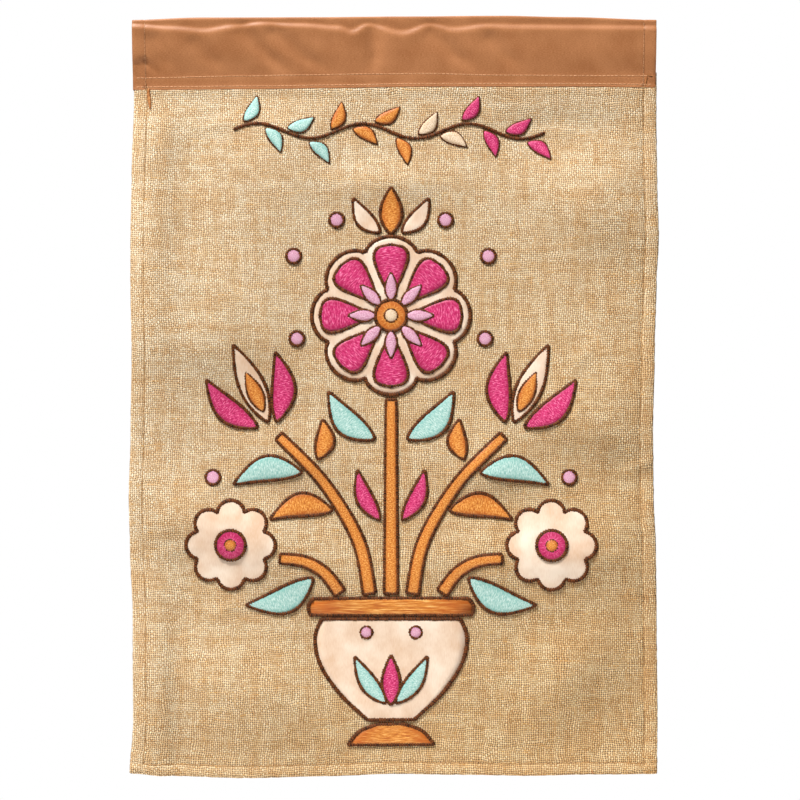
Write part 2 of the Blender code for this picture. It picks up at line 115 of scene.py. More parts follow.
# Where the embroidery has drawn the cloth together at the tips of its shapes
PUCKERS = (
    Fold(113, -202, -50, 11, 3.5, 3.5, 0.9),
    Fold(-117, -202, 50, 11, 3.5, 3.5, 0.9),
    Fold(104, -279, 30, 12, 3.5, 3.5, 0.9),
    Fold(-107, -279, -30, 12, 3.5, 3.5, 0.8),
    Fold(97, -353, 25, 12, 4.0, 4.0, 1.0),
    Fold(-100, -353, -25, 12, 4.0, 4.0, 1.0),
    Fold(70, -192, -70, 9, 3.0, 3.0, 0.7),
    Fold(-74, -192, 70, 9, 3.0, 3.0, 0.7),
    Fold(128, -322, 10, 10, 4.0, 4.0, 0.9),
    Fold(-131, -318, -10, 10, 4.0, 4.0, 0.9),
    Fold(32, -438, 30, 10, 4.0, 4.0, 0.9),
    Fold(-37, -438, -30, 10, 4.0, 4.0, 0.8),
    Fold(-60, -300, 60, 14, 4.0, 4.0, 0.8),
    Fold(58, -302, -60, 14, 4.0, 4.0, 0.8),
    Fold(100, -64, 0, 12, 3.5, 3.5, 0.8),
    Fold(-106, -60, -10, 12, 3.5, 3.5, 0.7),
    Fold(149, -267, -24, 10, 3.0, 3.0, 1.2),
)


def read_along(rows, at):
    """The value at a place in a table of pairs, eased from row to row."""
    at = min(max(at, rows[0][0]), rows[-1][0])
    for (a, low), (b, high) in zip(rows, rows[1:]):
        if at <= b:
            t = (at - a) / (b - a)
            t = t * t * (3 - 2 * t)
            return low + (high - low) * t
    return rows[-1][1]


def ease(at, start, end):
    """0 before start, 1 after end, smooth in between."""
    t = min(max((at - start) / (end - start), 0.0), 1.0)
    return t * t * (3 - 2 * t)


def unevenness(x, z, seed):
    """Small rises and hollows of cloth."""
    return sum(height * noise.noise(Vector((x / spread, z / spread, seed))) for height, spread in RELIEF)


def folds_at(x, z):
    """How far the front of the burlap stands out at a point."""
    out = 0.0
    for fold in FOLDS + PUCKERS:
        fall = math.radians(fold.fall)
        across, down = x - fold.x, fold.z - z
        along = across * math.cos(fall) + down * math.sin(fall)
        beside = down * math.cos(fall) - across * math.sin(fall)
        width = fold.above if beside < 0 else fold.below
        out += fold.height * math.exp(-(along / fold.reach) ** 2 - (beside / width) ** 2)
    fade = ease(SLEEVE_LINE - z, 0.0, FOLD_FADE)
    edge = (z - read_along(BOTTOM_EDGE, x)) / HEM_KICK_REACH
    swell = EMERGE * math.exp(-((z - SLEEVE_LINE + EMERGE_DROP) / EMERGE_WIDTH) ** 2)
    return (out + unevenness(x, z, 1.0)) * fade + HEM_KICK * math.exp(-edge * edge) + swell + SOLID_FRONT


def turned(run, radius):
    """Cloth turned round an edge: how far in from the edge, and how far behind the front it lies.
    run is measured along the cloth from the edge, more than 0 on the front."""
    quarter = math.pi * radius / 2
    if abs(run) < quarter:
        return radius * (1 - math.cos(run / radius)), radius * (1 - math.sin(run / radius))
    return radius + abs(run) - quarter, 0.0 if run > 0 else 2 * radius


def runs_at_edge(hem, radius, allowance, past):
    """Places along the cloth, counted from a turned edge, at which its shape needs a line."""
    quarter = math.pi * radius / 2
    flap = [-hem - allowance, -hem] + [-hem * share for share in FLAP_SHARES]
    bend = [-quarter, -quarter / 2, 0.0, quarter / 2, quarter]
    front = [hem * share for share in FRONT_SHARES]
    dip = [hem + STITCH_DIP_WIDTH * k for k in (-1, -0.5, 0, 0.5, 1)]
    return flap + bend + front + dip + [hem + past]


side_runs = runs_at_edge(SIDE_HEM, LAYER_PITCH / 2, HEM_ALLOWANCE, PAST_STITCHES)
foot_runs = runs_at_edge(BOTTOM_HEM, LAYER_PITCH / 2, HEM_ALLOWANCE, PAST_STITCHES)


def even_places(first, last, pitch):
    """Places from first to last, both left out, about a pitch apart."""
    count = round(abs(last - first) / pitch)
    return [first + (last - first) * i / count for i in range(1, count)]


cloth_across = [run - PANEL_HALF for run in side_runs]
cloth_across += even_places(side_runs[-1] - PANEL_HALF, PANEL_HALF - side_runs[-1], PANEL_PITCH)
cloth_across += [PANEL_HALF - run for run in reversed(side_runs)]
cloth_up = [PANEL_FOOT + run for run in foot_runs]
cloth_up += even_places(PANEL_FOOT + foot_runs[-1], PANEL_TOP, PANEL_PITCH) + [PANEL_TOP]

LEFT_SIDE = [(-row.z, row.left) for row in SIDE_EDGES]
RIGHT_SIDE = [(-row.z, row.right) for row in SIDE_EDGES]


def hem_relief(run, hem):
    """The swell of a hem between its fold and its stitches, less the dip along the stitches."""
    if run <= 0:
        return 0.0
    swell = HEM_PUFF * math.sin(math.pi * min(run / hem, 1.0))
    return swell - STITCH_DIP * math.exp(-((run - hem) / STITCH_DIP_WIDTH) ** 2)


def panel_point(u, v):
    """A point of the panel's middle surface from its place on the flat cloth."""
    run_left, run_right, run_foot = u + PANEL_HALF, PANEL_HALF - u, v - PANEL_FOOT
    radius = LAYER_PITCH / 2
    inset_left, depth_left = turned(run_left, radius)
    inset_right, depth_right = turned(run_right, radius)
    side_depth = depth_left + depth_right
    corner = 1 - ease(min(abs(run_left), abs(run_right)), SIDE_HEM + HEM_ALLOWANCE, SIDE_HEM + CORNER_EASE)
    foot_radius = radius * (1 + (CORNER_LAYERS - 1) * corner)
    inset_foot, foot_depth = turned(run_foot, foot_radius)

    waver = EDGE_WAVER * noise.noise(Vector((v / EDGE_WAVER_LENGTH, 0.0, 3.0)))
    left = read_along(LEFT_SIDE, -v) + inset_left + waver
    right = read_along(RIGHT_SIDE, -v) - inset_right + waver
    share = min(max((u + PANEL_HALF - SIDE_HEM) / (2 * (PANEL_HALF - SIDE_HEM)), 0.0), 1.0)
    x = left + (right - left) * share
    foot = read_along(BOTTOM_EDGE, x) + EDGE_WAVER * noise.noise(Vector((x / EDGE_WAVER_LENGTH, 0.0, 7.0)))
    low = 1 - ease(v, PANEL_FOOT + FOOT_EASE_TO, PANEL_FOOT + FOOT_EASE_FROM)
    z = v + (foot + inset_foot - v) * low

    over = foot_depth / (2 * foot_radius)
    behind = foot_depth + side_depth * (1 - 2 * over)
    relief = hem_relief(min(run_left, run_right), SIDE_HEM) + hem_relief(run_foot, BOTTOM_HEM)
    out = folds_at(x, z) - BURLAP_THICK / 2 + relief * ease(SLEEVE_LINE - z, RELIEF_FROM, RELIEF_TO)
    return Vector((x, behind - out, z)) * MM


def bend_grid(mesh, across, along, place):
    """A sheet of quads with a corner at each crossing of two lists of places. place gives a corner's
    point, in metres, and its place on the cloth, which becomes the thread coordinates in millimetres."""
    threads = mesh.loops.layers.uv.verify()
    columns, rows = len(across) - 1, len(along) - 1
    corners = bmesh.ops.create_grid(mesh, x_segments=columns, y_segments=rows, size=0.5)["verts"]
    for corner in corners:
        u = across[round((corner.co.x + 0.5) * columns)]
        v = along[round((corner.co.y + 0.5) * rows)]
        corner.co, thread = place(u, v)
        for loop in corner.link_loops:
            loop[threads].uv = thread
    return corners


def start_mesh():
    """An empty mesh that keeps each corner's place on the cloth."""
    mesh = bmesh.new()
    mesh.loops.layers.uv.new("threads")
    return mesh


def face_out(mesh):
    """Turn the faces of closed bands outwards, and those of an open sheet all one way."""
    bmesh.ops.recalc_face_normals(mesh, faces=mesh.faces)


def face_front(mesh):
    """Turn the faces of an open sheet so that most look to the front."""
    face_out(mesh)
    if sum(face.normal.y * face.calc_area() for face in mesh.faces) > 0:
        bmesh.ops.reverse_faces(mesh, faces=mesh.faces)


def add_piece(name, mesh, material, thickness=None):
    """A finished mesh as an object that rides on the flag; a sheet also gets its thickness."""
    made = bpy.data.meshes.new(name)
    mesh.to_mesh(made)
    mesh.free()
    made.materials.append(material)
    made.shade_smooth()
    piece = bpy.data.objects.new(name, made)
    bpy.context.scene.collection.objects.link(piece)
    if thickness is not None:
        wall = piece.modifiers.new("thickness", "SOLIDIFY")
        wall.thickness = thickness * MM
        wall.offset = 0.0
    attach(piece, "root")
    return piece


def linear(colour):
    """An sRGB hex colour as the linear value that a shader takes."""
    channels = [int(colour[i:i + 2], 16) / 255 for i in (0, 2, 4)]
    return (*[c / 12.92 if c <= 0.04045 else ((c + 0.055) / 1.055) ** 2.4 for c in channels], 1.0)


def add_node(tree, kind, settings, inputs):
    """Add a node with its settings; an input takes a value, or an output or a node to link from."""
    made = tree.nodes.new("ShaderNode" + kind)
    for name, value in settings.items():
        setattr(made, name, value)
    for name, value in inputs.items():
        if isinstance(value, bpy.types.Node):
            value = value.outputs[0]
        if isinstance(value, bpy.types.NodeSocket):
            tree.links.new(value, made.inputs[name])
        else:
            made.inputs[name].default_value = value
    return made


def start_material(name, sockets):
    """A material with its Principled shader's own values set."""
    material = bpy.data.materials.new(name)
    material.use_nodes = True
    shader = material.node_tree.nodes["Principled BSDF"]
    for socket, value in sockets.items():
        shader.inputs[socket].default_value = value
    return material, material.node_tree, shader


def cover(tree, shader, colour, relief=None):
    """Give a material's shader its colour, and its relief if it has any."""
    tree.links.new(colour.outputs[2], shader.inputs["Base Color"])
    if relief is not None:
        tree.links.new(relief.outputs[0], shader.inputs["Normal"])


BLEND = {"data_type": "RGBA"}
FLAT_NOISE = {"noise_dimensions": "2D"}
WARP_PITCH = 1.29          # from one upright thread to the next
WEFT_PITCH = 1.22          # from one level thread to the next
WEAVE_HEIGHT = 0.45 * MM
WEAVE_DRIFT = 3.6          # how far the threads wander from straight lines
FLOAT_RISE, SLUB_RISE = 0.55, 0.35   # how much a thread rises over another, and where it is thick
HEM_EDGE = 0.6             # width of the change from one layer of cloth to two

# Plain-weave polyester burlap: dull spun threads of uneven colour and thickness, holes where four threads
# meet, painted dark as shade, and a few thick slubs. The threads' real spacing shows at this size, so it is
# kept.
burlap, tree, shader = start_material("plain_weave_burlap", {
    "Roughness": 0.9, "IOR": 1.5, "Specular IOR Level": 0.2, "Sheen Weight": 0.08, "Sheen Roughness": 0.6})
flat = add_node(tree, "UVMap", {"uv_map": "threads"}, {})
drift = add_node(tree, "TexNoise", FLAT_NOISE, {"Vector": flat, "Scale": 0.07, "Detail": 3.0})
centred = add_node(tree, "VectorMath", {"operation": "SUBTRACT"}, {0: drift.outputs[1], 1: (0.5, 0.5, 0.5)})
shifted = add_node(tree, "VectorMath", {"operation": "MULTIPLY_ADD"}, {
    0: centred, 1: (WEAVE_DRIFT, WEAVE_DRIFT, 0.0), 2: flat})
place = add_node(tree, "SeparateXYZ", {}, {0: shifted})
waves, ridges, tones, slubs, numbers = {}, {}, {}, {}, {}
for name, output, other, pitch, seed in (("warp", 0, 1, WARP_PITCH, 3.7), ("weft", 1, 0, WEFT_PITCH, 41.3)):
    count = add_node(tree, "Math", {"operation": "DIVIDE"}, {0: place.outputs[output], 1: pitch})
    phase = add_node(tree, "Math", {"operation": "MULTIPLY"}, {0: count, 1: math.pi})
    waves[name] = add_node(tree, "Math", {"operation": "SINE"}, {0: phase})
    ridges[name] = add_node(tree, "Math", {"operation": "ABSOLUTE"}, {0: waves[name]})
    numbers[name] = add_node(tree, "Math", {"operation": "FLOOR"}, {0: count})
    spread = add_node(tree, "Math", {"operation": "MULTIPLY_ADD"}, {0: numbers[name], 1: 5.31, 2: seed})
    run = add_node(tree, "Math", {"operation": "MULTIPLY"}, {0: place.outputs[other], 1: 0.08})
    own = add_node(tree, "CombineXYZ", {}, {0: spread, 1: run})
    tones[name] = add_node(tree, "TexNoise", FLAT_NOISE, {"Vector": own, "Scale": 1.0, "Detail": 3.0})
    slubs[name] = add_node(tree, "MapRange", {}, {0: tones[name], 1: 0.62, 2: 0.74})
crossing = add_node(tree, "Math", {"operation": "MULTIPLY"}, {0: waves["warp"], 1: waves["weft"]})
heights = {}
for name, sign in (("warp", FLOAT_RISE), ("weft", -FLOAT_RISE)):
    lifted = add_node(tree, "Math", {"operation": "MULTIPLY_ADD"}, {0: crossing, 1: sign, 2: ridges[name]})
    heights[name] = add_node(tree, "Math", {"operation": "MULTIPLY_ADD"}, {
        0: slubs[name], 1: SLUB_RISE, 2: lifted})
height = add_node(tree, "Math", {"operation": "MAXIMUM"}, {0: heights["warp"], 1: heights["weft"]})
warp_on_top = add_node(tree, "Math", {"operation": "GREATER_THAN"}, {
    0: heights["warp"], 1: heights["weft"]})
colours = {}
# The upright threads are coloured lighter than the level ones: painted light that stands in for light
# catching their floats
for name, dark, light, slub_colour in (("warp", "E2CAA6", "EFE2C6", "D4B68E"),
                                       ("weft", "C9A77C", "E8D1AE", "CAA470")):
    share = add_node(tree, "MapRange", {}, {0: tones[name], 1: 0.33, 2: 0.67})
    plain = add_node(tree, "Mix", BLEND, {0: share, 6: linear(dark), 7: linear(light)})
    colours[name] = add_node(tree, "Mix", BLEND, {
        0: slubs[name], 6: plain.outputs[2], 7: linear(slub_colour)})
top = add_node(tree, "Mix", BLEND, {
    0: warp_on_top, 6: colours["weft"].outputs[2], 7: colours["warp"].outputs[2]})
# Each float, from where a thread comes up to where it goes under, also has a tone of its own
float_place = add_node(tree, "CombineXYZ", {}, {0: numbers["warp"], 1: numbers["weft"]})
chance = add_node(tree, "TexWhiteNoise", FLAT_NOISE, {"Vector": float_place})
dull = add_node(tree, "MapRange", {}, {0: chance, 1: 0.45, 4: 0.65})
floats = add_node(tree, "Mix", BLEND, {0: dull, 6: top.outputs[2], 7: linear("C09A6A")})
# The yarn's dye is uneven too, so groups of threads make soft warm bands that run both ways
bands = []
for stretch in ((0.16, 0.022, 1.0), (0.022, 0.16, 1.0)):
    stretched = add_node(tree, "Mapping", {}, {0: flat, "Scale": stretch})
    bands.append(add_node(tree, "TexNoise", FLAT_NOISE, {
        "Vector": stretched, "Scale": 1.0, "Detail": 3.0}))
both = add_node(tree, "Math", {"operation": "ADD"}, {0: bands[0], 1: bands[1]})
warm = add_node(tree, "MapRange", {}, {0: both, 1: 0.85, 2: 1.20, 3: 0.0, 4: 0.40})
tinted = add_node(tree, "Mix", {"data_type": "RGBA", "blend_type": "MULTIPLY"}, {
    0: warm, 6: floats.outputs[2], 7: linear("E4C28A")})
# Towards its lower right the cloth is painted a shade darker and warmer, and the painted shade in its holes
# spreads wider: painted shade that stands in for the light falling off there
along = add_node(tree, "SeparateXYZ", {}, {0: flat})
corner = add_node(tree, "Math", {"operation": "SUBTRACT"}, {0: along.outputs[0], 1: along.outputs[1]})
lower_right_shade = add_node(tree, "MapRange", {"interpolation_type": "SMOOTHSTEP"}, {0: corner, 1: 60.0, 2: 560.0})
shaded_to_lower_right = add_node(tree, "Mix", {"data_type": "RGBA", "blend_type": "MULTIPLY"}, {
    0: lower_right_shade, 6: tinted.outputs[2], 7: linear("FDF3DE")})
hole_shade_spread = add_node(tree, "Math", {"operation": "MULTIPLY_ADD"}, {0: lower_right_shade, 1: 0.3, 2: 1.10})
depth = add_node(tree, "MapRange", {"interpolation_type": "SMOOTHSTEP"}, {
    0: height, 1: 0.20, 2: hole_shade_spread})
# At a hem the cloth turned in behind fills the holes, so the painted shade in them is lighter there
aside = add_node(tree, "Math", {"operation": "ABSOLUTE"}, {0: along.outputs[0]})
side_hem = add_node(tree, "MapRange", {}, {
    0: aside, 1: PANEL_HALF - SIDE_HEM, 2: PANEL_HALF - SIDE_HEM + HEM_EDGE})
foot_hem = add_node(tree, "MapRange", {}, {
    0: along.outputs[1], 1: PANEL_FOOT + BOTTOM_HEM, 2: PANEL_FOOT + BOTTOM_HEM - HEM_EDGE})
hemmed = add_node(tree, "Math", {"operation": "MAXIMUM"}, {0: side_hem, 1: foot_hem})
behind = add_node(tree, "Mix", BLEND, {0: hemmed, 6: linear("3A2410"), 7: linear("66492E")})
holes = add_node(tree, "Mix", BLEND, {0: depth, 6: behind.outputs[2], 7: shaded_to_lower_right.outputs[2]})
bump = add_node(tree, "Bump", {}, {"Strength": 0.5, "Distance": WEAVE_HEIGHT, "Height": height})
cover(tree, shader, holes, bump)

panel_cloth = start_mesh()
bend_grid(panel_cloth, cloth_across, cloth_up, lambda u, v: (panel_point(u, v), (u, v)))
face_front(panel_cloth)
panel = add_piece("burlap_panel", panel_cloth, burlap, BURLAP_THICK)
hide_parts("panel")

# The rod sleeve: one strip of tan-brown polyester satin folded over the rod line. Its short ends are
# turned in and sewn, and its long edges are turned in and closed on the burlap with two stitch rows.
SATIN_THICK = 0.35
SLEEVE_HALF = 158.4
SLEEVE_PITCH = 1.7
END_HEM, END_ALLOWANCE, END_PAST, TURN_PITCH = 7.5, 1.0, 2.0, 0.4
END_RELIEF = 0.4           # the satin's end hems show this share of the burlap hems' relief
TURNED_IN = 6.0            # the long edges lie this deep inside the strip
TOP_EDGE = ((-160, 2.7), (-116, 4.2), (-45, 4.5), (0, 5.0), (65, 5.4), (105, 4.6), (160, 2.9))
SLEEVE_EDGE = ((-160, -39.0), (-76, -38.4), (-40, -37.8), (20, -36.9), (110, -36.9), (160, -37.4))
Section = namedtuple("Section", "share out")
SLEEVE_SECTION = (
    Section(0.000, 0.0),
    Section(0.005, 4.2),
    Section(0.012, 5.4),
    Section(0.030, 5.8),
    Section(0.080, 5.8),
    Section(0.180, 5.6),
    Section(0.330, 5.2),
    Section(0.500, 4.3),
    Section(0.660, 3.0),
    Section(0.790, 1.85),
    Section(0.860, 1.50),
    Section(0.930, 1.08),
    Section(0.975, 1.12),
    Section(1.000, 1.14),
)
# How full the front leg is along the sleeve, against the section's own fullness
FULLNESS = ((-160, 1.20), (-95, 1.12), (10, 0.76), (110, 0.92), (160, 1.0))
ROLL_FROM, ROLL_TO, ROLL_MEAN, ROLL_FOLLOW = 0.05, 0.55, -2.0, 0.5
SEAM_SHARE, SEAM_EASE, SEAM_OUT = 0.79, 0.2, 1.9
ROLL_LINE = ((-160, -1.2), (-134, -2.7), (-115, -4.2), (-98, -1.8), (-80, 0.0), (-57, -0.9),
             (-33, -2.4), (-26, -4.8), (-16, -0.6), (5, -5.4), (22, -0.6), (36, -3.3), (56, -1.2),
             (76, -1.8), (160, -2.4))
# The pressed crease along the roll line, and the dip over it: height, place over the line, and how far
# each reaches above and below
Crease = namedtuple("Crease", "height place above below")
CREASES = (Crease(0.55, -1.0, 1.3, 4.5), Crease(-0.65, 1.6, 3.5, 1.2))
Wrinkle = namedtuple("Wrinkle", "x_top z_top x_low z_low width depth")
WRINKLES = (
    Wrinkle(-91, -4, -67, -28, 4.5, 1.5),
    Wrinkle(-72, -5, -44, -28, 5, 1.3),
    Wrinkle(-13, -4, -12, -29, 4.5, 1.3),
    Wrinkle(23, -4, 43, -25, 5, 1.5),
    Wrinkle(59, -8, 73, -25, 4.5, 1.1),
    Wrinkle(-146, -10, -139, -24, 5, 1.0),
    Wrinkle(-120, -12, -108, -25, 5, 0.9),
    Wrinkle(-151, -23, -144, -30, 2.2, 1.6),
    Wrinkle(-156, -24, -153, -30, 1.8, 1.4),
)
UPPER_ROW = ((-158, -32.1), (-93, -30.9), (-63, -30.3), (-15, -29.6), (19, -29.3), (64, -30.3),
             (125, -30.6), (158, -30.6))
LOWER_ROW_UP = 1.6         # the lower row runs this far above the sleeve's edge
STRIP_PUFF, STRIP_ROUND = 0.08, 0.7   # the strip between the rows swells this much


def smooth_route(points, steps):
    """Points of a smooth curve through the given ones."""
    route = []
    last = len(points) - 1
    for i in range(last):
        before, here = points[max(i - 1, 0)], points[i]
        there, after = points[i + 1], points[min(i + 2, last)]
        for k in range(steps):
            t = k / steps
            route.append(tuple(
                b + 0.5 * t * (c - a + t * (2 * a - 5 * b + 4 * c - d + t * (3 * b - a - 3 * c + d)))
                for a, b, c, d in zip(before, here, there, after)))
    route.append(tuple(points[-1]))
    return route


def wrinkles_at(x, z):
    """Depth of the drag wrinkles at a point of the sleeve's front."""
    deep = 0.0
    for fold in WRINKLES:
        run, drop = fold.x_low - fold.x_top, fold.z_low - fold.z_top
        length = math.hypot(run, drop)
        along = ((x - fold.x_top) * run + (z - fold.z_top) * drop) / length
        beside = ((x - fold.x_top) * drop - (z - fold.z_top) * run) / length
        past_end = max(-along, along - length, 0.0)
        deep += fold.depth * math.exp(-((beside / fold.width) ** 2) - (past_end / fold.width) ** 2)
    return deep


half_section = [(row.share, row.out) for row in SLEEVE_SECTION]
whole_section = [(share, -out) for share, out in half_section[:0:-1]] + half_section
section_route = smooth_route(whole_section, 4)


def stitch_rows(x):
    """The heights of the two stitch rows on the sleeve."""
    return read_along(UPPER_ROW, x), read_along(SLEEVE_EDGE, x) + LOWER_ROW_UP


def leg_point(x, share, out):
    """A point of the sleeve's shell: distance to the back, height. out is more than 0 on the front."""
    top, low = read_along(TOP_EDGE, x), read_along(SLEEVE_EDGE, x)
    z = top + (low - top) * share
    front = out > 0
    reach = abs(out)
    if front and share < SEAM_SHARE and reach > SEAM_OUT:
        reach = SEAM_OUT + (reach - SEAM_OUT) * read_along(FULLNESS, x)
    if ROLL_FROM < share < ROLL_TO:
        swell = math.sin(math.pi * (share - ROLL_FROM) / (ROLL_TO - ROLL_FROM))
        z += ROLL_FOLLOW * swell * (read_along(ROLL_LINE, x) - ROLL_MEAN)
    upper, lower = stitch_rows(x)
    if lower < z < upper:
        reach += STRIP_PUFF * math.sin(math.pi * (upper - z) / (upper - lower)) ** STRIP_ROUND
    if front:
        slack = min(max((SEAM_SHARE - share) / SEAM_EASE, 0.0), 1.0)
        reach -= wrinkles_at(x, z) * slack
        for crease in CREASES:
            over = z - read_along(ROLL_LINE, x) - crease.place
            reach += crease.height * math.exp(-(over / (crease.above if over > 0 else crease.below)) ** 2)
    return (-reach if front else reach), z


def sleeve_section(x):
    """The whole section at one place along the sleeve, from one turned-in edge over the top to the
    other."""
    shell = [leg_point(x, max(share, 0.0), out) for share, out in section_route]
    radius = TURN_PITCH / 2
    ends = []
    for y, z in (shell[0], shell[-1]):
        side = 1 if y > 0 else -1
        runs = (TURNED_IN, TURNED_IN / 2, 0.0)
        inner = [(y - side * 2 * radius, z + run) for run in runs]
        bend = [(y - side * radius * (1 + math.cos(turn)), z - radius * math.sin(turn))
                for turn in (math.pi / 4, math.pi / 2, 3 * math.pi / 4)]
        ends.append(inner + bend)
    return ends[0] + shell + ends[1][::-1]


end_runs = runs_at_edge(END_HEM, TURN_PITCH / 2, END_ALLOWANCE, END_PAST)
strip_across = [run - SLEEVE_HALF for run in end_runs]
strip_across += even_places(end_runs[-1] - SLEEVE_HALF, SLEEVE_HALF - end_runs[-1], SLEEVE_PITCH)
strip_across += [SLEEVE_HALF - run for run in reversed(end_runs)]
sections = {}


def sleeve_point(u, row):
    """A point of the sleeve from its place on the flat strip: along it, and the number of its row."""
    run = min(u + SLEEVE_HALF, SLEEVE_HALF - u)
    inset, depth = turned(run, TURN_PITCH / 2)
    x = math.copysign(SLEEVE_HALF - inset, u)
    if u not in sections:
        sections[u] = sleeve_section(x)
    section = sections[u]
    y, z = section[row]
    ahead, behind = section[min(row + 1, len(section) - 1)], section[max(row - 1, 0)]
    along = Vector((ahead[0] - behind[0], ahead[1] - behind[1])).normalized()
    puff = hem_relief(run, END_HEM) * END_RELIEF
    inward = depth - puff
    return Vector((x, y - along.y * inward, z + along.x * inward)) * MM


middle_section = sleeve_section(0.0)
section_rows = list(range(len(middle_section)))
lengths = [0.0]
for here, there in zip(middle_section, middle_section[1:]):
    lengths.append(lengths[-1] + math.dist(here, there))

# Tan-brown polyester satin: long smooth floats that run along the strip give a soft sheen, and a fine
# close weave that only just shows. Its threads are drawn twice their real width so that they show.
brown_satin, tree, shader = start_material("tan_brown_satin", {
    "Roughness": 0.5, "IOR": 1.5, "Specular IOR Level": 0.35, "Sheen Weight": 0.1, "Sheen Roughness": 0.4})
flat = add_node(tree, "UVMap", {"uv_map": "threads"}, {})
fine = add_node(tree, "Mapping", {}, {0: flat, "Scale": (0.9, 2.6, 1.0)})
floats = add_node(tree, "TexNoise", FLAT_NOISE, {"Vector": fine, "Scale": 1.0, "Detail": 3.0})
cloud = add_node(tree, "TexNoise", FLAT_NOISE, {"Vector": flat, "Scale": 0.06, "Detail": 2.0})
both = add_node(tree, "Math", {"operation": "MULTIPLY_ADD"}, {0: cloud, 1: 0.6, 2: floats})
share = add_node(tree, "MapRange", {}, {0: both, 1: 0.55, 2: 1.05})
colour = add_node(tree, "Mix", BLEND, {0: share, 6: linear("975F36"), 7: linear("B1774C")})
bump = add_node(tree, "Bump", {}, {"Strength": 0.12, "Distance": 0.2 * MM, "Height": floats})
cover(tree, shader, colour, bump)

strip = start_mesh()
bend_grid(strip, strip_across, section_rows, lambda u, row: (sleeve_point(u, row), (u, lengths[row])))
face_front(strip)
sleeve = add_piece("satin_sleeve", strip, brown_satin, SATIN_THICK)
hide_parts("sleeve")

# The sewing: lockstitches in tan thread round the hems, and in light brown thread along the sleeve.
# Each row is one thread that dips into a needle hole between its stitches, on both sides of the flag.
HEM_STITCH, HEM_THREAD = 2.8, 0.5
ROW_STITCH, ROW_THREAD, END_THREAD = 2.5, 0.55, 0.35
STITCH_RINGS = 6
THREAD_RISE = 0.6          # height of a thread as a share of its width
THREAD_SINK = 0.3          # how deep the thread goes in between two stitches
# How far a thread's underside lies off the cloth: tight thread beds itself in the soft satin
THREAD_LIFT, TIGHT_LIFT = 0.1, -0.08
ROW_HIDDEN = 1.0           # the side hems' rows go on this far under the sleeve
ROW_PITCH = 2.0            # spacing of the places that carry the long rows' routes
END_ROW_TOP, END_ROW_FOOT = 2.0, 0.5   # the end rows stop this far from the sleeve's top and foot
DOME = ((-1.0, 0.0), (-0.86, 0.52), (-0.5, 0.87), (0.0, 1.0), (0.5, 0.87), (0.86, 0.52), (1.0, 0.0),
        (-1.0, 0.0))


def even_points(route, step):
    """Points about a step apart along a route of points."""
    lengths = [0.0]
    for here, there in zip(route, route[1:]):
        lengths.append(lengths[-1] + math.dist(here, there))
    count = max(round(lengths[-1] / step), 2)
    points, k = [], 0
    for i in range(count + 1):
        wanted = lengths[-1] * i / count
        while k < len(route) - 2 and lengths[k + 1] < wanted:
            k += 1
        t = (wanted - lengths[k]) / max(lengths[k + 1] - lengths[k], 1e-9)
        points.append(tuple(a + (b - a) * t for a, b in zip(route[k], route[k + 1])))
    return points


def sweep(mesh, route, ring, lay, step, closed=False):
    """A raised band along a route of flat points a step apart. ring gives its half width, rise and foot at
    a point, and lay puts a flat point on the flag, so far out."""
    count = len(route)

    def corner(k, i):
        x, z = route[i % count]
        ahead = route[(i + 1) % count] if closed else route[min(i + 1, count - 1)]
        behind = route[(i - 1) % count] if closed else route[max(i - 1, 0)]
        heading = Vector((ahead[0] - behind[0], ahead[1] - behind[1])).normalized()
        half, rise, foot = ring(i % count)
        side, up = DOME[k]
        point = lay(x - heading.y * side * half, z + heading.x * side * half, foot + up * rise)
        return point, (i * step, k * half / 3)

    rings = list(range(count + 1 if closed else count))
    made = bend_grid(mesh, list(range(len(DOME))), rings, corner)
    bmesh.ops.remove_doubles(mesh, verts=made, dist=0.004 * MM)


def sew_row(mesh, route, stitch, thread, lay, lift=THREAD_LIFT):
    """A row of stitches along a route of flat points."""
    points = even_points(route, stitch / STITCH_RINGS)

    def ring(i):
        share = i % STITCH_RINGS / STITCH_RINGS
        return thread / 2, thread * THREAD_RISE, lift - THREAD_SINK * (1 - math.sin(math.pi * share) ** 0.5)

    sweep(mesh, points, ring, lay, stitch / STITCH_RINGS)


def sewing_thread(name, hole, dark, light, stitch):
    """Spun polyester sewing thread: two plies twisted together, with a slight sheen. It is dark where it
    goes down into the shade of a needle hole."""
    material, tree, shader = start_material(name, {
        "Roughness": 0.6, "IOR": 1.5, "Specular IOR Level": 0.25})
    place = add_node(tree, "TexCoord", {}, {})
    plies = add_node(tree, "TexNoise", {}, {
        "Vector": place.outputs["Object"], "Scale": 0.7 / MM, "Detail": 1.0})
    share = add_node(tree, "MapRange", {}, {0: plies, 1: 0.35, 2: 0.65})
    plied = add_node(tree, "Mix", BLEND, {0: share, 6: linear(dark), 7: linear(light)})
    flat = add_node(tree, "UVMap", {"uv_map": "threads"}, {})
    along = add_node(tree, "SeparateXYZ", {}, {0: flat})
    phase = add_node(tree, "Math", {"operation": "MULTIPLY"}, {0: along.outputs[0], 1: math.pi / stitch})
    wave = add_node(tree, "Math", {"operation": "SINE"}, {0: phase})
    rise = add_node(tree, "Math", {"operation": "ABSOLUTE"}, {0: wave})
    # Painted shade: the thread is coloured dark near each needle hole
    above = add_node(tree, "MapRange", {}, {0: rise, 1: 0.08, 2: 0.45})
    colour = add_node(tree, "Mix", BLEND, {0: above, 6: linear(hole), 7: plied.outputs[2]})
    cover(tree, shader, colour)
    return material


tan_thread = sewing_thread("tan_sewing_thread", "4A2E14", "9C7242", "BE9460", HEM_STITCH)
satin_thread = sewing_thread("light_brown_sewing_thread", "8A5630", "B07E56", "CC9C74", ROW_STITCH)


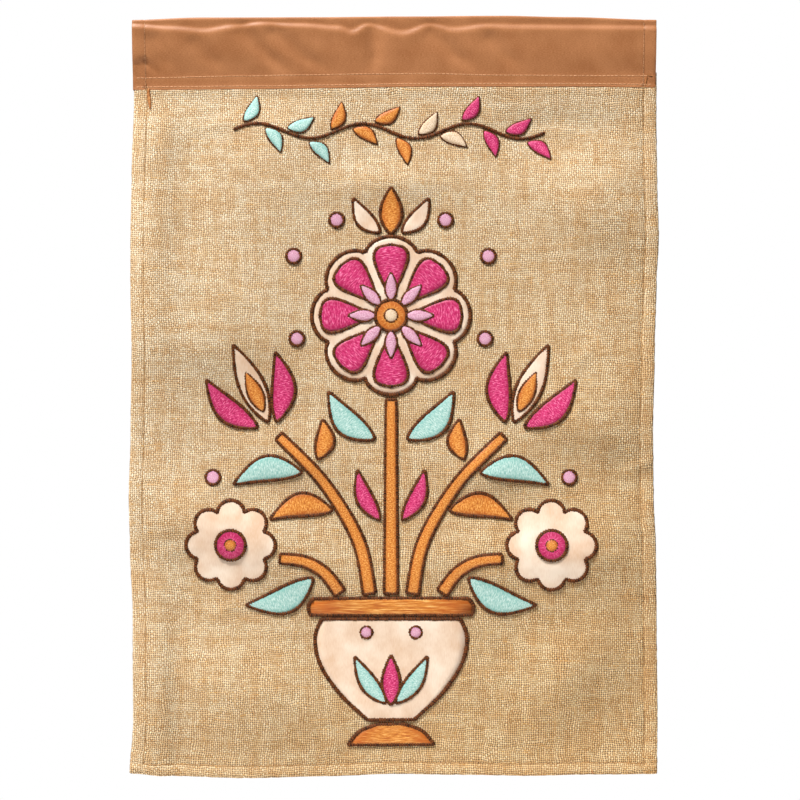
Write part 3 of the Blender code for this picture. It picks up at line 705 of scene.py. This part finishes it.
def on_panel(side):
    """Lays flat places of the panel's cloth on its front, or on the back of its hem."""
    def lay(u, v, out):
        point = panel_point(u, v)
        if side < 0:
            return point + Vector((0, LAYER_PITCH + BURLAP_THICK / 2 + out, 0)) * MM
        return point - Vector((0, BURLAP_THICK / 2 + out, 0)) * MM
    return lay


def on_sleeve(side):
    """Lays points on the outside of the sleeve's front or back leg."""
    def lay(x, z, out):
        shell = [leg_point(x, max(share, 0.0), reach) for share, reach in section_route if reach * side > 0]
        y = min(shell, key=lambda point: abs(point[1] - z))[0]
        return Vector((x, y - side * (SATIN_THICK / 2 + out), z)) * MM
    return lay


hem_rows = start_mesh()
stitch_line, foot_line = PANEL_HALF - SIDE_HEM, PANEL_FOOT + BOTTOM_HEM
for side in (1, -1):
    for u in (-stitch_line, stitch_line):
        sew_row(hem_rows, [(u, foot_line), (u, SLEEVE_LINE + ROW_HIDDEN)], HEM_STITCH, HEM_THREAD,
                on_panel(side))
    foot_route = [(-stitch_line, foot_line), (stitch_line, foot_line)]
    sew_row(hem_rows, foot_route, HEM_STITCH, HEM_THREAD, on_panel(side))
face_out(hem_rows)
hem_stitches = add_piece("hem_stitches", hem_rows, tan_thread)

sleeve_rows = start_mesh()
row_places = even_places(-SLEEVE_HALF, SLEEVE_HALF, ROW_PITCH)
for row in (0, 1):
    route = [(x, stitch_rows(x)[row]) for x in row_places]
    for side in (1, -1):
        sew_row(sleeve_rows, route, ROW_STITCH, ROW_THREAD, on_sleeve(side), TIGHT_LIFT)
for x in (END_HEM - SLEEVE_HALF, SLEEVE_HALF - END_HEM):
    end_route = [(x, read_along(TOP_EDGE, x) - END_ROW_TOP), (x, read_along(SLEEVE_EDGE, x) + END_ROW_FOOT)]
    for side in (1, -1):
        sew_row(sleeve_rows, end_route, ROW_STITCH, END_THREAD, on_sleeve(side))
face_out(sleeve_rows)
sleeve_stitches = add_piece("sleeve_stitches", sleeve_rows, satin_thread)

# Loose ends that were never trimmed: a thick brown slub under the sleeve at the left, a forked end over
# the sleeve's rows at the right, and a tail under the foot hem.
LOOSE_STEP, LOOSE_FOOT = 0.6, 0.2
TAPER, TAPER_LATE = 0.75, 2.5   # how much thinner a loose end is at its tips, and how late it thins
brown_end = sewing_thread("brown_thread_end", "8A5228", "9C5E30", "C08650", ROW_STITCH)
LooseEnd = namedtuple("LooseEnd", "name slot lay width routes")
LOOSE_ENDS = (
    LooseEnd("loose_slub", "burlap", on_panel(1), 2.1, (
        ((-149.6, -37.9), (-149.9, -42.0), (-149.2, -46.0), (-148.9, -51.0)),)),
    LooseEnd("loose_tail", "burlap", on_panel(1), 0.6, (
        ((119.0, -450.5), (119.8, -453.0), (121.8, -455.6)),)),
    LooseEnd("loose_fork", "brown_satin", on_sleeve(1), 0.6, (
        ((153.4, -29.6), (152.7, -33.2), (152.2, -36.8)),
        ((153.4, -29.6), (155.2, -30.8), (156.6, -30.4)))),
)
for loose in LOOSE_ENDS:
    strand = start_mesh()
    for places in loose.routes:
        route = even_points(smooth_route(places, 6), LOOSE_STEP)
        half = loose.width / 2
        last = len(route) - 1

        def taper(i):
            share = half * (1 - TAPER * abs(2 * i / last - 1) ** TAPER_LATE)
            return share, share, LOOSE_FOOT

        sweep(strand, route, taper, loose.lay, LOOSE_STEP)
    face_out(strand)
    piece = add_piece(loose.name, strand, brown_end)

# The applique: pieces cut from thin cream satin and laid on the burlap before any embroidery. The
# sewing that holds their edges draws them into soft wrinkles.
MOTIF_MIDDLE = -2.0
LEAF_BELLY = 0.85
SCALLOP_ROUND = 0.6
BOWL_SIDE = ((42, -360), (46, -371), (43, -387), (31, -405), (14, -421))
ROSETTE_Z, ROSETTE_RADIUS, ROSETTE_NOTCH = -176.0, 48.0, 0.16
DAISY_X, DAISY_Z, DAISY_RADIUS, DAISY_NOTCH = 97.0, -315.0, 27.0, 0.24
FLOWER_LOBES = 8
APPLIQUE_THICK = 0.4
APPLIQUE_RISE = 0.35       # the satin's middle surface stands this far off the burlap at its edge
APPLIQUE_SWELL = 0.45
APPLIQUE_PITCH, APPLIQUE_ACROSS = 2.0, 16   # spacing of its lines along, and their number across
SATIN_WRINKLES = ((0.40, 12.0), (0.20, 5.5))   # height and spread
FEWEST_LINES = 8
RIM_LATE, END_LATE = 4, 8  # how late the swell falls off towards the rim, and towards the two ends
RIM_POINTS = 60            # places round a rim at which its size is measured

# A shape is filled by at(s, t): s runs along it from 0 to 1, or round it, and t across from -1 to 1, or
# out from its middle. length and width are its size that way, in millimetres.
Shape = namedtuple("Shape", "at is_round length width")


def leaf(length, width, bow=0.0, foot=0.0):
    """A pointed leaf, bowed to one side, whose foot may stand off from its own place."""
    def at(s, t):
        half = width / 2 * math.sin(math.pi * s ** LEAF_BELLY)
        return bow * math.sin(math.pi * s) + t * half, foot + s * length
    return Shape(at, False, length, width)


def disc(radius):
    """A round dot."""
    def at(s, t):
        return t * radius * math.sin(2 * math.pi * s), t * radius * math.cos(2 * math.pi * s)
    return Shape(at, True, 2 * math.pi * radius, radius)


def scalloped(radius, lobes, notch):
    """A round flower, notched between its lobes."""
    def at(s, t):
        turn = 2 * math.pi * s
        reach = t * radius * (1 - notch + notch * abs(math.cos(lobes * turn / 2)) ** SCALLOP_ROUND)
        return reach * math.sin(turn), reach * math.cos(turn)
    return Shape(at, True, 2 * math.pi * radius, radius)


def vessel(side):
    """A shape with two like sides; the right one is given, from the top down."""
    route = smooth_route(side, 8)
    last = len(route) - 1

    def at(s, t):
        k = min(int(s * last), last - 1)
        x, z = (a + (b - a) * (s * last - k) for a, b in zip(route[k], route[k + 1]))
        return t * x, z
    return Shape(at, False, math.dist(side[0], side[-1]), 2 * max(x for x, z in side))


# A motif is a shape in its place: its foot, its lean to the right in degrees, whether it is repeated on
# the left, how far its edge stands off the burlap, and the width of the brown outline round it.
Motif = namedtuple("Motif", "name shape x z lean paired rise outline")
applique = (
    Motif("rosette", scalloped(ROSETTE_RADIUS, FLOWER_LOBES, ROSETTE_NOTCH), 0, ROSETTE_Z, 0, False,
          APPLIQUE_RISE, 2.5),
    Motif("daisy", scalloped(DAISY_RADIUS, FLOWER_LOBES, DAISY_NOTCH), DAISY_X, DAISY_Z, 0, True,
          APPLIQUE_RISE, 2.4),
    Motif("pot", vessel(BOWL_SIDE), 0, 0, 0, False, APPLIQUE_RISE, 2.5),
    Motif("tulip_heart", leaf(51, 15), 74.5, -240.5, 24, True, APPLIQUE_RISE, 2.3),
    Motif("crown_side", leaf(26, 10, 2.5), 6.8, -125.6, 38, True, APPLIQUE_RISE, 2.2),
)


def sides_of(motif):
    """The ending of the name and the side of each copy of a motif."""
    return (("_right", 1), ("_left", -1)) if motif.paired else (("", 1),)


def put(motif, side, point):
    """A point of a motif's shape on the flat flag."""
    turn = math.radians(motif.lean)
    u, v = point
    x = motif.x + u * math.cos(turn) + v * math.sin(turn)
    return MOTIF_MIDDLE + side * x, motif.z - u * math.sin(turn) + v * math.cos(turn)


def on_front(x, z, out):
    """A point so far out from the front of the burlap."""
    return Vector((x, -folds_at(x, z) - out, z)) * MM


def on_back(x, z, out):
    """A point so far out from the back of the burlap."""
    return Vector((x, BURLAP_THICK - folds_at(x, z) + out, z)) * MM


def fill(mesh, motif, side, pitch, across, swell, wrinkles=(), lay=on_front):
    """Fill a motif's shape with a cloth or a pad that swells towards its middle. Its thread coordinates
    are millimetres along it, and 0 in its middle to 1, or -1, at its rim."""
    shape = motif.shape
    along = max(round(shape.length / pitch), FEWEST_LINES)
    places = [i / along for i in range(along + 1)]
    first = 0 if shape.is_round else -1
    span = [first + (1 - first) * i / across for i in range(across + 1)]

    def corner(t, s):
        x, z = put(motif, side, shape.at(s, t))
        edge = abs(t) ** RIM_LATE
        if not shape.is_round:
            edge = max(edge, abs(2 * s - 1) ** END_LATE)
        out = motif.rise + swell * (1 - edge)
        out += sum(height * (1 - edge) * noise.noise(Vector((x / spread, z / spread, 5.0)))
                   for height, spread in wrinkles)
        return lay(x, z, out), (s * shape.length, t)

    made = bend_grid(mesh, span, places, corner)
    bmesh.ops.remove_doubles(mesh, verts=made, dist=0.02 * MM)


# Cream polyester satin: smooth floats give broad soft highlights. Its colour has soft warmer, darker
# patches at random, painted shade that stands in for the shade in its dips; the patches don't follow its
# wrinkles. Its threads are drawn three times their real width so that they just show.
cream_satin, tree, shader = start_material("cream_satin", {
    "Roughness": 0.38, "IOR": 1.5, "Specular IOR Level": 0.5, "Sheen Weight": 0.25,
    "Sheen Roughness": 0.35})
place = add_node(tree, "TexCoord", {}, {})
fine = add_node(tree, "Mapping", {}, {0: place.outputs["Object"], "Scale": (1.4 / MM, 1.0, 0.35 / MM)})
floats = add_node(tree, "TexNoise", {}, {"Vector": fine, "Scale": 1.0, "Detail": 2.0})
# Soft patches of painted shade, placed at random
cloud = add_node(tree, "TexNoise", {}, {
    "Vector": place.outputs["Object"], "Scale": 0.06 / MM, "Detail": 2.0})
both = add_node(tree, "Math", {"operation": "MULTIPLY_ADD"}, {0: floats, 1: 0.35, 2: cloud})
share = add_node(tree, "MapRange", {}, {0: both, 1: 0.50, 2: 0.86})
colour = add_node(tree, "Mix", BLEND, {0: share, 6: linear("D2B194"), 7: linear("E5D2BE")})
bump = add_node(tree, "Bump", {}, {"Strength": 0.06, "Distance": 0.2 * MM, "Height": floats})
cover(tree, shader, colour, bump)


def flat_size(shape):
    """The width and length that a shape is cut to, in metres."""
    rim = [shape.at(i / RIM_POINTS, t) for i in range(RIM_POINTS + 1) for t in (-1, 1)]
    return [(max(values) - min(values)) * MM for values in zip(*rim)]


for motif in applique:
    for suffix, side in sides_of(motif):
        cut = start_mesh()
        fill(cut, motif, side, APPLIQUE_PITCH, APPLIQUE_ACROSS, APPLIQUE_SWELL, SATIN_WRINKLES)
        face_front(cut)
        cut_area = sum(face.calc_area() for face in cut.faces)
        piece = add_piece("satin_" + motif.name + suffix, cut, cream_satin, APPLIQUE_THICK)
        flat_size(motif.shape)
        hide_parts(motif.name + suffix)

# The embroidery: dense pads of bright rayon thread stitched through the burlap or through the satin.
# The threads lie side by side across each shape and catch the light one by one.
PAD_PITCH, PAD_ACROSS = 1.6, 8
PAD_SWELL = 0.6
PAD_THICK = 0.4
# How full a petal is, how straight its sides flare, and how blunt its tip is
PETAL_FULL, PETAL_FLARE, PETAL_BLUNT = 0.575, 0.8, 6
RIM_SIDE = ((47, -347.5), (50, -352), (49, -357.5))
FOOT_SIDE = ((8, -424), (19, -428), (26, -436))


def petal(length, width, foot):
    """A petal, narrow at its foot and blunt at its tip."""
    def at(s, t):
        half = width * PETAL_FULL * s ** PETAL_FLARE * math.sqrt(max(1 - s ** PETAL_BLUNT, 0.0))
        return t * half, foot + s * length
    return Shape(at, False, length, width)


def band(points, foot_width, tip_width):
    """A stem along a curved route, which narrows from its foot to its tip."""
    route = smooth_route(points, 10)
    last = len(route) - 1

    def at(s, t):
        k = min(int(s * last), last - 1)
        x, z = (a + (b - a) * (s * last - k) for a, b in zip(route[k], route[k + 1]))
        ahead, behind = route[min(k + 2, last)], route[max(k - 1, 0)]
        heading = Vector((ahead[0] - behind[0], ahead[1] - behind[1])).normalized()
        half = t * (foot_width + (tip_width - foot_width) * s) / 2
        return x + heading.y * half, z - heading.x * half
    length = sum(math.dist(a, b) for a, b in zip(route, route[1:]))
    return Shape(at, False, length, foot_width)


# How far a pad's middle surface stands off the burlap at its edge, by what it is worked on
ON_BURLAP, ON_SATIN, ON_PADS, ON_TOP = 0.45, 0.85, 1.45, 1.9
embroidery = {
    "pink": [
        Motif("tulip_outer", leaf(42, 14, 4.5), 81.0, -243.8, 47, True, ON_BURLAP, 2.3),
        Motif("tulip_inner", leaf(42, 14, -4.5), 69.2, -240.4, 1, True, ON_BURLAP, 2.3),
        Motif("leaf_middle", leaf(33, 10, 3), 6.8, -300, 24, True, ON_BURLAP, 2.2),
    ],
    "orange": [
        Motif("crown_middle", leaf(28, 13), 0, -126.3, 0, False, ON_BURLAP, 2.3),
        Motif("stem_middle", band(((0, -344.5), (0, -286), (0, -227)), 8.0, 6.0),
              0, 0, 0, False, ON_BURLAP, 2.2),
        Motif("stem_upper", band(((13, -344.5), (20, -312), (41, -277), (68, -249)), 7.5, 5.5),
              0, 0, 0, True, ON_BURLAP, 2.2),
        Motif("stem_lower", band(((31, -344), (40, -332), (52, -325), (67, -323)), 7.0, 5.5),
              0, 0, 0, True, ON_BURLAP, 2.2),
        Motif("leaf_tulip_in", leaf(24, 11, -3), 44, -263, -6, True, ON_BURLAP, 2.2),
        Motif("leaf_branch", leaf(38, 14, -6), 35.5, -294, 98, True, ON_BURLAP, 2.3),
        Motif("pot_rim", vessel(RIM_SIDE), 0, 0, 0, False, ON_BURLAP, 2.4),
        Motif("pot_foot", vessel(FOOT_SIDE), 0, 0, 0, False, ON_BURLAP, 2.4),
    ],
    "aqua": [
        Motif("leaf_crown", leaf(40, 15, 5), 10, -251, 44, True, ON_BURLAP, 2.3),
        Motif("leaf_tulip_out", leaf(42, 15, -6), 54, -271, 100, True, ON_BURLAP, 2.3),
        Motif("leaf_daisy", leaf(44, 16, 6), 47, -335, 112, True, ON_BURLAP, 2.3),
    ],
    "pale_pink": [
        Motif("berry_1", disc(4.2), 33, -118, 0, True, ON_BURLAP, 2.2),
        Motif("berry_2", disc(4.2), 59, -140, 0, True, ON_BURLAP, 2.2),
        Motif("berry_3", disc(4.2), 57, -190, 0, True, ON_BURLAP, 2.2),
        Motif("berry_4", disc(4.2), 108, -274, 0, True, ON_BURLAP, 2.2),
    ],
}
# What is stitched on the satin stands for no solid of its own
on_satin = {"pink": [], "orange": [], "aqua": [], "pale_pink": [], "cream": []}
for k in range(FLOWER_LOBES):
    lean = 360 * k / FLOWER_LOBES
    on_satin["pink"].append(
        Motif("rosette_petal", petal(31, 25, 12), 0, ROSETTE_Z, lean, False, ON_SATIN, 2.2))
    on_satin["pale_pink"].append(
        Motif("rosette_leaf", leaf(17, 7, 0, 9), 0, ROSETTE_Z, lean, False, ON_PADS, 1.8))
on_satin["orange"] += [
    Motif("rosette_eye", disc(9.5), 0, ROSETTE_Z, 0, False, ON_PADS, 2.4),
    Motif("daisy_eye", disc(3.6), DAISY_X, DAISY_Z, 0, True, ON_TOP, 1.6),
    Motif("tulip_core", leaf(26, 9, 0, 7), 74.5, -240.5, 24, True, ON_SATIN, 1.8),
]
on_satin["cream"].append(Motif("rosette_dot", disc(4.0), 0, ROSETTE_Z, 0, False, ON_TOP, 1.8))
on_satin["pink"] += [
    Motif("daisy_disc", disc(9.0), DAISY_X, DAISY_Z, 0, True, ON_PADS, 2.2),
    Motif("pot_leaf_middle", leaf(30, 11), 0, -412, 0, False, ON_SATIN, 2.4),
]
on_satin["aqua"].append(Motif("pot_leaf_side", leaf(34, 10, 2), 3, -411, 34, True, ON_SATIN, 2.4))
on_satin["pale_pink"].append(Motif("pot_dot", disc(3.6), 15, -368, 0, True, ON_SATIN, 2.0))

# The garland over the pot: a thin vine with a small leaf above and below it in turn
GARLAND_Z, GARLAND_START, GARLAND_END = -64.0, -99.0, 93.0
GARLAND_SWING, GARLAND_WAVE = 4.5, 64.0
FIRST_LEAF, LEAF_STEP, LEAF_SPREAD, LEAF_OFFSET = -91.0, 13.23, 46.0, 2.6
LEAF_LENGTH, LEAF_WIDTH, LEAF_BOW, LEAF_OUTLINE = 17.0, 7.5, 2.0, 1.3
GARLAND_COLOURS = ("aqua",) * 4 + ("orange",) * 4 + ("cream",) * 2 + ("pink",) * 4


def vine_height(x):
    """The height of the wavy vine at a place across."""
    return GARLAND_Z + GARLAND_SWING * math.sin(2 * math.pi * (x - GARLAND_START) / GARLAND_WAVE)


garland = {colour: [] for colour in GARLAND_COLOURS}
for number, colour in enumerate(GARLAND_COLOURS):
    x = FIRST_LEAF + LEAF_STEP * number
    slope = math.atan(vine_height(x + 0.5) - vine_height(x - 0.5))
    way = 1 if number % 2 == 0 else -1
    lean = 90 - math.degrees(slope) - way * LEAF_SPREAD
    garland[colour].append(Motif(
        f"garland_leaf_{number + 1}", leaf(LEAF_LENGTH, LEAF_WIDTH, way * LEAF_BOW), x - MOTIF_MIDDLE,
        vine_height(x) + way * LEAF_OFFSET, lean, False, ON_BURLAP, LEAF_OUTLINE))

STITCH_PITCH = 0.65        # the real threads lie 0.4 apart; drawn coarser so that they show
STITCH_RUNS = 3.6          # stitches from a shape's middle to its rim


def embroidery_thread(name, deep, main, glint):
    """Bright rayon embroidery thread worked across each shape: short stitches of slightly different tone,
    fine painted glints scattered among them at random, and a deeper colour towards the rim, painted shade
    where the pad turns down."""
    material, tree, shader = start_material(name, {
        "Roughness": 0.45, "IOR": 1.5, "Specular IOR Level": 0.35, "Sheen Weight": 0.1})
    flat = add_node(tree, "UVMap", {"uv_map": "threads"}, {})
    fine = add_node(tree, "Mapping", {}, {0: flat, "Scale": (1 / STITCH_PITCH, STITCH_RUNS, 1.0)})
    stitches = add_node(tree, "TexNoise", FLAT_NOISE, {
        "Vector": fine, "Scale": 1.0, "Detail": 4.0, "Roughness": 0.7})
    share = add_node(tree, "MapRange", {}, {0: stitches, 1: 0.34, 2: 0.54})
    # Painted glints: the highest values of the stitch pattern take the glint colour
    lit = add_node(tree, "MapRange", {}, {0: stitches, 1: 0.54, 2: 0.70})
    across = add_node(tree, "SeparateXYZ", {}, {0: flat})
    # Painted shade: the colour deepens towards the rim
    aside = add_node(tree, "Math", {"operation": "ABSOLUTE"}, {0: across.outputs[1]})
    rim = add_node(tree, "MapRange", {"interpolation_type": "SMOOTHSTEP"}, {
        0: aside, 1: 0.3, 2: 1.0, 4: 0.7})
    body = add_node(tree, "Mix", BLEND, {0: share, 6: linear(deep), 7: linear(main)})
    bright = add_node(tree, "Mix", BLEND, {0: lit, 6: body.outputs[2], 7: linear(glint)})
    colour = add_node(tree, "Mix", BLEND, {0: rim, 6: bright.outputs[2], 7: linear(deep)})
    bump = add_node(tree, "Bump", {}, {"Strength": 0.5, "Distance": 0.25 * MM, "Height": stitches})
    cover(tree, shader, colour, bump)
    return material


Thread = namedtuple("Thread", "deep main glint slot")
THREADS = {
    "pink": Thread("9C0B43", "CB2E6D", "EC98BA", "pink_thread"),
    "pale_pink": Thread("B6778E", "CF9DB3", "E6CFDB", "pale_pink_thread"),
    "orange": Thread("A74C0C", "D08432", "EFC478", "orange_thread"),
    "aqua": Thread("72ABA2", "A8CAC1", "DDE8E4", "aqua_thread"),
    "cream": Thread("C0A07C", "DDC6A9", "F0E5D4", "satin"),
}
for colour, thread in THREADS.items():
    pads = start_mesh()
    sewn = embroidery.get(colour, []) + garland.get(colour, [])
    for motif in sewn + on_satin[colour]:
        for suffix, side in sides_of(motif):
            fill(pads, motif, side, PAD_PITCH, PAD_ACROSS, PAD_SWELL)
    face_front(pads)
    rayon = embroidery_thread(colour + "_rayon_thread", *thread[:3])
    piece = add_piece(colour + "_embroidery", pads, rayon, PAD_THICK)
    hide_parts(*[motif.name + suffix for motif in sewn for suffix, side in sides_of(motif)])

# The brown outlines: a raised satin stitch 2 to 2.5 mm wide, worked last over the edge of every shape.
# Its threads run straight across, so it has fine ribs and a slightly ragged edge.
ROPE_STEP = 0.8            # two steps make a rib; the real threads lie closer
ROPE_RISE = 0.48           # height of the rope as a share of its width
ROPE_RIB, ROPE_RAGGED = 0.26, 0.42
PAST_CORNER = 0.7          # the ends run past a corner by this much
SHARP_CORNER = 0.6         # a turn of more than this, in radians, ends a rope
ROPE_SINK = 0.3            # a rope lies this much deeper than the edge that it covers
VINE_WIDTH, VINE_FOOT, VINE_STEP = 2.0, 0.1, 2.0
EDGE_PITCH, FEWEST_POINTS, SAME_POINT = 1.5, 16, 0.05   # points closer than the last are taken as one
rng = random.Random(11)


def edge_of(motif, side):
    """The closed outline of a motif as flat points."""
    shape = motif.shape
    steps = max(round(shape.length / EDGE_PITCH), FEWEST_POINTS)
    if shape.is_round:
        return [put(motif, side, shape.at(i / steps, 1)) for i in range(steps)]
    right = [put(motif, side, shape.at(i / steps, 1)) for i in range(steps + 1)]
    left = [put(motif, side, shape.at(i / steps, -1)) for i in range(steps + 1)]
    outline = right + left[::-1]
    pairs = zip(outline, outline[-1:] + outline)
    return [here for here, before in pairs if math.dist(here, before) > SAME_POINT]


def stretches(outline):
    """A closed outline cut at its sharp corners into open routes; with no sharp corner it stays closed."""
    count = len(outline)
    corners = []
    for i, here in enumerate(outline):
        before, after = outline[i - 1], outline[(i + 1) % count]
        turn = Vector((here[0] - before[0], here[1] - before[1])).angle(
            Vector((after[0] - here[0], after[1] - here[1])))
        if turn > SHARP_CORNER:
            corners.append(i)
    if not corners:
        return [(outline + outline[:1], True)]
    rolled = outline[corners[0]:] + outline[:corners[0] + 1]
    cuts = [i - corners[0] for i in corners] + [count]
    return [(rolled[a:b + 1], False) for a, b in zip(cuts, cuts[1:])]


def run_past(route, reach):
    """A route whose two ends go on straight for a little."""
    ends = []
    for end, inner in ((route[0], route[1]), (route[-1], route[-2])):
        away = Vector((end[0] - inner[0], end[1] - inner[1])).normalized() * reach
        ends.append((end[0] + away.x, end[1] + away.y))
    return [ends[0]] + route + [ends[1]]


def satin_stitch(mesh, route, width, foot, closed):
    """A rope of satin stitch along a route of flat points."""
    points = even_points(route if closed else run_past(route, PAST_CORNER), ROPE_STEP)
    if closed:
        points = points[:-1]
    count = len(points)
    ragged = [rng.uniform(-1, 1) for _ in points]

    def ring(i):
        rib = 1 if i % 2 else -1
        half = width / 2 + ROPE_RAGGED / 2 * (rib + ragged[i])
        rise = width * ROPE_RISE + ROPE_RIB / 2 * (rib + ragged[i])
        if not closed:
            from_end = min(i, count - 1 - i) * ROPE_STEP / half
            round_end = math.sqrt(max(1 - max(1 - from_end, 0.0) ** 2, 0.0))
            half, rise = half * round_end, rise * round_end
        return half, rise, foot

    sweep(mesh, points, ring, on_front, ROPE_STEP, closed)


# Dark brown rayon thread of uneven tone, with painted shade that makes it almost black in the dips between
# its ribs and painted light that makes it warm brown on them.
brown_rope, tree, shader = start_material("dark_brown_rayon_thread", {
    "Roughness": 0.6, "IOR": 1.5, "Specular IOR Level": 0.14})
flat = add_node(tree, "UVMap", {"uv_map": "threads"}, {})
fine = add_node(tree, "Mapping", {}, {0: flat, "Scale": (1.3, 0.35, 1.0)})
strands = add_node(tree, "TexNoise", FLAT_NOISE, {"Vector": fine, "Scale": 1.0, "Detail": 3.0})
along = add_node(tree, "SeparateXYZ", {}, {0: flat})
# Painted shade between the ribs and painted light on them, in step with the ribs of the rope's shape
phase = add_node(tree, "Math", {"operation": "MULTIPLY"}, {
    0: along.outputs[0], 1: math.pi / (2 * ROPE_STEP)})
wave = add_node(tree, "Math", {"operation": "SINE"}, {0: phase})
ribs = add_node(tree, "Math", {"operation": "ABSOLUTE"}, {0: wave})
both = add_node(tree, "Math", {"operation": "MULTIPLY_ADD"}, {0: ribs, 1: 0.3, 2: strands})
share = add_node(tree, "MapRange", {}, {0: both, 1: 0.5, 2: 0.9})
colour = add_node(tree, "Mix", BLEND, {0: share, 6: linear("180902"), 7: linear("74401E")})
bump = add_node(tree, "Bump", {}, {"Strength": 0.5, "Distance": 0.25 * MM, "Height": strands})
cover(tree, shader, colour, bump)

satin_motifs = list(applique) + [motif for group in on_satin.values() for motif in group]
burlap_motifs = [motif for group in embroidery.values() for motif in group]
garland_motifs = [motif for group in garland.values() for motif in group]
for name, motifs in (("outlines_on_satin", satin_motifs), ("outlines_on_burlap", burlap_motifs),
                     ("garland_outlines", garland_motifs)):
    ropes = start_mesh()
    for motif in motifs:
        for suffix, side in sides_of(motif):
            for route, closed in stretches(edge_of(motif, side)):
                satin_stitch(ropes, route, motif.outline, motif.rise - ROPE_SINK, closed)
    if motifs is garland_motifs:
        vine = [(x, vine_height(x)) for x in even_places(GARLAND_START, GARLAND_END, VINE_STEP)]
        satin_stitch(ropes, vine, VINE_WIDTH, VINE_FOOT, False)
    face_out(ropes)
    piece = add_piece(name, ropes, brown_rope)
    if motifs is garland_motifs:
        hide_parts("garland_vine")

# The back of the embroidery: pale bobbin thread shows behind each pad, and as a thin line behind each
# outline, where the needle went through the burlap.
BOBBIN_STEP, BOBBIN_WIDTH, BOBBIN_RISE, BOBBIN_FOOT = 1.6, 1.5, 0.45, -0.1
BACK_PITCH, BACK_RISE, BACK_SWELL, BACK_THICK = 2.4, 0.1, 0.2, 0.2
bobbin_thread = embroidery_thread("cream_bobbin_thread", "B09470", "D6C4A4", "EADFC8")


def bobbin_line(i):
    """The half width, rise and foot of the thin line behind an outline."""
    return BOBBIN_WIDTH / 2, BOBBIN_RISE, BOBBIN_FOOT


pad_backs = start_mesh()
line_backs = start_mesh()
for motif in satin_motifs + burlap_motifs + garland_motifs:
    for suffix, side in sides_of(motif):
        if motif not in applique and motif.rise < ON_PADS:
            low = motif._replace(rise=BACK_RISE)
            fill(pad_backs, low, side, BACK_PITCH, PAD_ACROSS, BACK_SWELL, lay=on_back)
        for route, closed in stretches(edge_of(motif, side)):
            line = even_points(route, BOBBIN_STEP)
            sweep(line_backs, line[:-1] if closed else line, bobbin_line, on_back, BOBBIN_STEP, closed)
sweep(line_backs, even_points(vine, BOBBIN_STEP), bobbin_line, on_back, BOBBIN_STEP)
face_front(pad_backs)
face_out(line_backs)
for name, backs, thickness in (("embroidery_backs", pad_backs, BACK_THICK),
                               ("outline_backs", line_backs, None)):
    piece = add_piece(name, backs, bobbin_thread, thickness)

# The room: a plain pale floor, soft lights and the camera straight before the flag. The lamps' places
# and sizes are in metres. A high key light with a narrow beam brings out the folds.
PHOTO_WIDTH = 485.6        # width of the photo's frame at the flag's plane
LENS, SENSOR = 100.0, 36.0
FRAME_MIDDLE = (3.45, -227.2)
FLOOR_DROP = 620.0
FLOOR_RADIUS = 780.0

camera_data = bpy.data.cameras.new("camera")
camera_data.lens = LENS
camera_data.sensor_width = SENSOR
camera_data.clip_end = 20
camera = bpy.data.objects.new("camera", camera_data)
bpy.context.scene.collection.objects.link(camera)
camera.location = (FRAME_MIDDLE[0] * MM, -PHOTO_WIDTH * LENS / SENSOR * MM, FRAME_MIDDLE[1] * MM)
camera.rotation_euler = (math.radians(90), 0, 0)
bpy.context.scene.camera = camera

painted_board, tree, shader = start_material("painted_board", {"Roughness": 0.9})
place = add_node(tree, "TexCoord", {}, {})
grain = add_node(tree, "TexNoise", {}, {"Vector": place.outputs["Object"], "Scale": 3.0, "Detail": 3.0})
colour = add_node(tree, "Mix", BLEND, {0: grain, 6: linear("F2F1EF"), 7: linear("F8F8F7")})
cover(tree, shader, colour)
board = bmesh.new()
bmesh.ops.create_circle(board, cap_ends=True, segments=96, radius=FLOOR_RADIUS * MM)
bmesh.ops.translate(board, verts=board.verts, vec=(0, 0, -FLOOR_DROP * MM))
floor_mesh = bpy.data.meshes.new("floor")
board.to_mesh(floor_mesh)
board.free()
floor_mesh.materials.append(painted_board)
floor = bpy.data.objects.new("floor", floor_mesh)
bpy.context.scene.collection.objects.link(floor)

Lamp = namedtuple("Lamp", "name place size watts spread")
AIM = Vector((0.06, 0.0, -0.14))
for lamp in (Lamp("key", (-1.02, -1.35, 2.215), 0.675, 22.8, 62),
             Lamp("fill", (1.1, -1.3, -0.1), 1.2, 0.9, 180),
             Lamp("back", (0.6, 1.6, 0.6), 1.4, 32.0, 180)):
    light = bpy.data.lights.new(lamp.name, "AREA")
    light.size = lamp.size
    light.energy = lamp.watts
    light.spread = math.radians(lamp.spread)
    lit = bpy.data.objects.new(lamp.name, light)
    bpy.context.scene.collection.objects.link(lit)
    lit.location = lamp.place
    lit.rotation_euler = (AIM - Vector(lamp.place)).to_track_quat("-Z", "Y").to_euler()

world = bpy.data.worlds.new("studio")
world.use_nodes = True
bpy.context.scene.world = world
SOFT_LIGHT = 0.08          # what the white room gives the flag; the camera sees it at full white
seen = add_node(world.node_tree, "LightPath", {}, {})
strength = add_node(world.node_tree, "MapRange", {}, {
    0: seen.outputs["Is Camera Ray"], 3: SOFT_LIGHT, 4: 1.0})
background = world.node_tree.nodes["Background"]
shade = add_node(world.node_tree, "Mix", BLEND, {
    0: seen.outputs["Is Camera Ray"], 6: linear("FFE6C8"), 7: linear("FFFFFF")})
world.node_tree.links.new(shade.outputs[2], background.inputs["Color"])
world.node_tree.links.new(strength.outputs[0], background.inputs["Strength"])
bpy.context.scene.view_settings.view_transform = "Standard"
